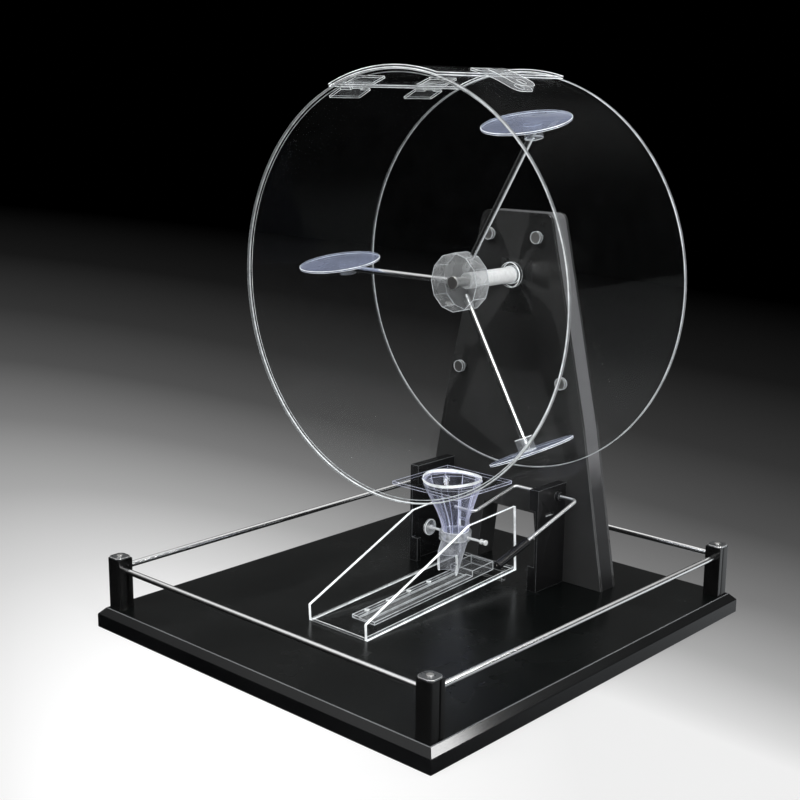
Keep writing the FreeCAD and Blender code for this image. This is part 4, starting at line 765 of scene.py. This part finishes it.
# %% Draw the lines of the small pieces
CHORD, LONG = 0.0002, 0.0012
KNUCKLE = 0.0046
STRAP_PIN = next((joint["pos_m"][0], joint["pos_m"][2], KNUCKLE)
                 for joint in frame["record"]["behaviour"]["joints"] if joint["name"] == "strap_hinge")
for node, half, finish, limit, shortest, pin in (
        ("guide_ramp", 0.0003, strip_line, 25.0, LONG, None),
        ("hinge_lid_leaves", 0.00016, clear_edge, 40.0, LONG, None),
        ("hinge_wall_leaves", 0.00016, clear_edge, 40.0, LONG, None),
        ("rotor_hub", 0.00025, thin_edge, 25.0, LONG, None),
        ("outlet_spout", 0.00028, clear_edge, 12.0, LONG, None),
        ("outlet_collar", 0.0002, clear_edge, 50.0, LONG, None),
        ("drum_screws", 0.0003, thin_edge, 50.0, CHORD, None),
        ("latch_base", 0.00012, clear_edge, 25.0, LONG, STRAP_PIN),
        ("latch_strap", 0.00012, clear_edge, 50.0, CHORD, STRAP_PIN)):
    print(node, edge_lines(node, half, finish, limit, shortest, pin), "lines")

# %% [markdown]
# ## Surfaces from a formula
# The drum is all circles. A circle from triangles shows its corners in every reflection, so
# the round pieces are worked out anew. The first helper numbers the quads of a grid, the
# second turns arrays into an object, merges the points of its seams and turns its faces out.

# %% From a grid to a piece
def grid_faces(rows, columns, wrap_rows, wrap_columns):
    """Quads between neighbouring points of a grid, with its seams closed where it wraps."""
    r = np.arange(rows if wrap_rows else rows - 1)
    c = np.arange(columns if wrap_columns else columns - 1)
    r, c = np.meshgrid(r, c, indexing="ij")
    r2, c2 = (r + 1) % rows, (c + 1) % columns
    quads = np.stack([r * columns + c, r * columns + c2, r2 * columns + c2, r2 * columns + c], axis=-1)
    return quads.reshape(-1, 4)


def piece(name, points, faces, finishes, which=None):
    """Puts arrays of points and faces into an object, merges doubles and turns the faces out."""
    mesh = bpy.data.meshes.new(name)
    mesh.from_pydata(points.reshape(-1, 3), [], faces)
    for finish in finishes:
        mesh.materials.append(finish)
    if which is not None:
        mesh.polygons.foreach_set("material_index", np.asarray(which, dtype=np.int32))
    work = bmesh.new()
    work.from_mesh(mesh)
    bmesh.ops.remove_doubles(work, verts=work.verts, dist=1e-7)
    bmesh.ops.recalc_face_normals(work, faces=work.faces)
    work.to_mesh(mesh)
    work.free()
    return settle(bpy.data.objects.new(name, mesh))


print("a grid of 3 by 4 points has", len(grid_faces(3, 4, False, False)), "quads")

# %% [markdown]
# A turned part is a profile of (radius, along) pairs that is carried round an axis, as clay on
# a wheel, and all its points come from one array formula.

# %% Carry a profile round an axis
def turned(name, profile, centre, way, finishes, which=None, steps=256, closed=False):
    """point = centre + way * along + radius * (cos(t) * side + sin(t) * up), t round the axis.

    profile holds (radius, along) pairs. An open profile starts and ends on the axis; a closed
    one makes a ring. which names the finish of each step of the profile.
    """
    way = np.array(way, dtype=float) / np.linalg.norm(way)
    helper = np.array([0.0, 0.0, 1.0]) if abs(way[2]) < 0.9 else np.array([1.0, 0.0, 0.0])
    side = np.cross(helper, way)
    side /= np.linalg.norm(side)
    up = np.cross(way, side)
    profile = np.array(profile, dtype=float)
    t = np.linspace(0, 2 * np.pi, steps, endpoint=False)
    ring = np.cos(t)[:, None] * side + np.sin(t)[:, None] * up
    points = np.array(centre) + profile[:, None, 1:2] * way + profile[:, None, 0:1] * ring[None]
    faces = grid_faces(len(profile), steps, closed, True)
    if which is not None:
        which = np.repeat(np.asarray(which), steps)
    return piece(name, points, faces, finishes, which)


AXIS_Z, R = 0.3458, 0.2085
DRUM_WAY = (0, 1, 0)
DRUM_CENTRE = (CX, 0, AXIS_Z)
print("drum radius", R * 1000, "mm")

# %% [markdown]
# The crank's wire runs through its grip, and its plated end shows as a small dome in the
# grip's tip. The grip's own direction is the longest direction of its points: the eigenvector
# of their spread with the largest eigenvalue, turned to point to the front. The dome is a
# quarter ellipse carried round it.

# %% Cap the grip
DOME_WIDE, DOME_HIGH, DOME_SUNK = 0.0024, 0.0018, 0.0016
grip = frame["nodes"]["crank_grip"].data
spots = np.empty(len(grip.vertices) * 3)
grip.vertices.foreach_get("co", spots)
spots = spots.reshape(-1, 3)
middle = spots.mean(axis=0)
ways = np.linalg.eigh(np.cov((spots - middle).T))[1]
lead = ways[:, -1] * -np.sign(ways[1, -1])
tip = middle + lead * (((spots - middle) @ lead).max() - DOME_SUNK)
bow = np.linspace(0, np.pi / 2, 9)
dome_profile = np.stack([DOME_WIDE * np.cos(bow), DOME_HIGH * np.sin(bow)], 1)[::-1]
dome = turned("grip_tip", dome_profile, tip, lead, (chrome,), steps=32)
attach(dome, "crank")
print("grip points along", np.round(lead, 3).tolist())

# %% [markdown]
# ## The drum's two plates
# Each plate is a saw-cut disc. Its faces are clear, its rim is a duller band, and the two
# corners of the rim are the bright double line that draws the drum. The front plate's profile
# starts and ends on the axis. The rear plate is a ring, because the shaft passes through it.

# %% Turn the plates
FRONT_OUT, FRONT_IN, REAR_IN, REAR_OUT = -0.048, -0.0435, 0.142, 0.146
RIM_EASE = 0.0009
SHAFT_BORE = 0.006


def plate_profile(radius, front, back, ease):
    """Flat face, eased corner, rim, eased corner, flat face: from the axis out and back in."""
    return [(0, front), (radius * 0.5, front), (radius - ease, front), (radius, front + ease),
            (radius, back - ease), (radius - ease, back), (radius * 0.5, back), (0, back)]


FACE, BAND, LINE = 0, 1, 2
# the rim's band and its two corner lines take cut-edge finishes, bright by their painted glow
rim_kinds = [FACE, FACE, LINE, BAND, LINE, FACE, FACE]
front_profile = plate_profile(R, FRONT_OUT, FRONT_IN, RIM_EASE)
front_plate = turned("front_plate", front_profile, DRUM_CENTRE, DRUM_WAY,
                     (wall_face, rim_band, rim_line), rim_kinds)
stand_in(front_plate, "drum_front_plate")
rear_profile = plate_profile(R, REAR_IN, REAR_OUT, RIM_EASE)
rear_profile[0], rear_profile[-1] = (SHAFT_BORE, REAR_IN), (SHAFT_BORE, REAR_OUT)
rear_plate = turned("rear_plate", rear_profile, DRUM_CENTRE, DRUM_WAY,
                    (wall_face, faint_edge, thin_edge), rim_kinds + [FACE], closed=True)
stand_in(rear_plate, "drum_rear_plate")
print("plates", len(front_plate.data.polygons), "and", len(rear_plate.data.polygons), "faces")

# %% [markdown]
# ## The drum's wall
# The wall is one sheet bent round the plates, open at the top for the lid and bored at the
# bottom for the outlet. Its outer face is a function of the angle and the depth. On a square
# patch round the ball hole the grid has equal steps both ways.

# %% Lay out the wall's grid
WALL = 0.003
HOLE_Y, HOLE_R, PATCH = 0.04925, 0.031, 0.042
BOTTOM = math.radians(270)
FIRST, LAST = math.radians(110.8), math.radians(360 + 77.7)
PATCH_STEPS = 16


def runs(*stretches):
    """One rising line of places from stretches of (start, end, points), ends shared."""
    lines = [np.linspace(start, end, points) for start, end, points in stretches]
    return np.concatenate([line[:-1] for line in lines[:-1]] + [lines[-1]])


angles = runs((FIRST, BOTTOM - PATCH / R, 105),
              (BOTTOM - PATCH / R, BOTTOM + PATCH / R, PATCH_STEPS + 1),
              (BOTTOM + PATCH / R, LAST, 111))
depths = runs((FRONT_IN, HOLE_Y - PATCH, 7), (HOLE_Y - PATCH, HOLE_Y + PATCH, PATCH_STEPS + 1),
              (HOLE_Y + PATCH, REAR_IN, 7))
print("the wall's grid has", len(angles), "by", len(depths), "points")

# %% [markdown]
# Round the ball hole the patch of the grid is left out and filled by a fan of rows that run
# from the circle to the square around it, so the hole is truly round.

# %% Work out one skin of the wall
def on_wall(angle, depth, radius):
    """x = centre + radius * cos(angle), y = depth, z = axis + radius * sin(angle)."""
    x, z = CX + radius * np.cos(angle), AXIS_Z + radius * np.sin(angle)
    return np.stack([x, depth + 0 * angle, z], axis=-1)


def wall_skin(radius):
    """The grid without its patch, and the rows that lead from the hole to the patch's border:
    point = hole + (border - hole) * share, in angle and in depth."""
    a, y = np.meshgrid(angles, depths, indexing="ij")
    grid = on_wall(a, y, radius).reshape(-1, 3)
    quads = grid_faces(len(angles), len(depths), False, False)
    mid_a, mid_y = (a[:-1, :-1] + a[1:, 1:]) / 2, (y[:-1, :-1] + y[1:, 1:]) / 2
    keep = (np.abs(mid_a - BOTTOM) * R > PATCH) | (np.abs(mid_y - HOLE_Y) > PATCH)
    quads = quads[keep.ravel()]
    u = np.linspace(-1, 1, PATCH_STEPS + 1)[:-1]
    one = np.ones(PATCH_STEPS)
    sides = [(u, -one), (one, u), (-u, one), (-one, -u)]
    square = np.concatenate([np.stack(side, 1) for side in sides])
    turn = np.arctan2(square[:, 1], square[:, 0])
    hole_a = BOTTOM + np.arcsin(HOLE_R * np.cos(turn) / radius)
    hole_y = HOLE_Y + HOLE_R * np.sin(turn)
    edge_a = BOTTOM + square[:, 0] * PATCH / R
    edge_y = HOLE_Y + square[:, 1] * PATCH
    share = np.linspace(0, 1, 5)[:, None]
    fan_a, fan_y = hole_a + (edge_a - hole_a) * share, hole_y + (edge_y - hole_y) * share
    fan = on_wall(fan_a, fan_y, radius).reshape(-1, 3)
    fan_quads = grid_faces(len(share), len(square), False, True) + len(grid)
    return np.concatenate([grid, fan]), np.concatenate([quads, fan_quads]), len(grid)


outer, outer_quads, fan_start = wall_skin(R)
inner, inner_quads, _ = wall_skin(R - WALL)
print("one skin has", len(outer), "points")

# %% [markdown]
# A second copy, one wall thickness further in, and strips along every border close the sheet.
# The strips of the lid's window are faint cut edges, and the one round the hole is a bright one.
# It is turned and polished, and its brightness is the edge finish's painted glow.

# %% Bend the wall
count, rows, columns = len(outer), len(angles), len(depths)
first_row = np.arange(columns)
last_row = (rows - 1) * columns + np.arange(columns)
front_side = np.arange(rows) * columns
back_side = front_side + columns - 1
hole_ring = np.concatenate([fan_start + np.arange(4 * PATCH_STEPS), [fan_start]])


def strip(border):
    """Quads that join a border of the outer skin to the same border of the inner skin."""
    return np.stack([border[:-1], border[1:], border[1:] + count, border[:-1] + count], axis=-1)


window_strips = np.concatenate([strip(first_row), strip(last_row)])
side_strips = np.concatenate([strip(front_side), strip(back_side)])
hole_strip = strip(hole_ring)
wall_faces = np.concatenate([outer_quads, inner_quads[:, ::-1] + count,
                             window_strips, side_strips, hole_strip])
wall_which = np.repeat([0, 2, 0, 1], [len(outer_quads) * 2, len(window_strips), len(side_strips),
                                      len(hole_strip)])
wall = piece("bent_wall", np.concatenate([outer, inner]), wall_faces,
             (wall_face, clear_edge, faint_edge), wall_which)
stand_in(wall, "drum_wall")
print("wall", len(wall.data.polygons), "faces")

# %% [markdown]
# Where the wall meets the front plate the joint is made with solvent, which leaves a small
# fillet in the inside corner. Its brightness is the rim line's painted glow. It is the second,
# inner line of the drum's front rim.

# %% Run the joint
JOINT = 0.0008
joint_profile = [(R - WALL, FRONT_IN), (R - WALL - JOINT, FRONT_IN), (R - WALL, FRONT_IN + JOINT)]
joint = turned("front_joint", joint_profile, DRUM_CENTRE, DRUM_WAY, (rim_line,), closed=True)
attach(joint, "frame")
print("joint fillet", JOINT * 1000, "mm")

# %% [markdown]
# ## The filling lid
# The lid is the same bend one sheet further out. It lies on the plates' rims over the window.
# All four of its borders are cut edges. Four skins, one inside the other, carry the faces, and
# the three steps between them are corner line, cut face and corner line.

# %% Bend the lid
LID_FIRST, LID_LAST, LID_BACK = 75, 113.5, 0.1455
LID_LOW, LID_HIGH, LID_LINE = R + 0.0003, R + 0.0033, 0.0006
LID_STEPS, LID_ROWS = 48, 9
lid_a, lid_y = np.meshgrid(np.radians(np.linspace(LID_FIRST, LID_LAST, LID_STEPS)),
                           np.linspace(FRONT_OUT, LID_BACK, LID_ROWS), indexing="ij")
levels = (LID_HIGH, LID_HIGH - LID_LINE, LID_LOW + LID_LINE, LID_LOW)
skins = np.concatenate([on_wall(lid_a, lid_y, level).reshape(-1, 3) for level in levels])
skin_count = LID_STEPS * LID_ROWS
quads = grid_faces(LID_STEPS, LID_ROWS, False, False)
row, column = np.arange(LID_ROWS), np.arange(LID_STEPS) * LID_ROWS
borders = [row, (LID_STEPS - 1) * LID_ROWS + row, column, column + LID_ROWS - 1]
ring = np.concatenate([np.stack([b[:-1], b[1:], b[1:] + skin_count, b[:-1] + skin_count], axis=-1)
                       for b in borders])
lid_faces = np.concatenate([quads, quads[:, ::-1] + 3 * skin_count,
                            ring, ring + skin_count, ring + 2 * skin_count])
lid_which = np.repeat([0, 2, 1, 2], [len(quads) * 2, len(ring), len(ring), len(ring)])
lid = piece("bent_lid", skins, lid_faces, (wall_face, faint_edge, clear_edge), lid_which)
stand_in(lid, "filling_lid")
print("lid", len(lid.data.polygons), "faces")

# %% [markdown]
# ## Close the scene
# The standard view shows each colour as it is written.

# %% Close the scene
bpy.context.scene.view_settings.view_transform = "Standard"
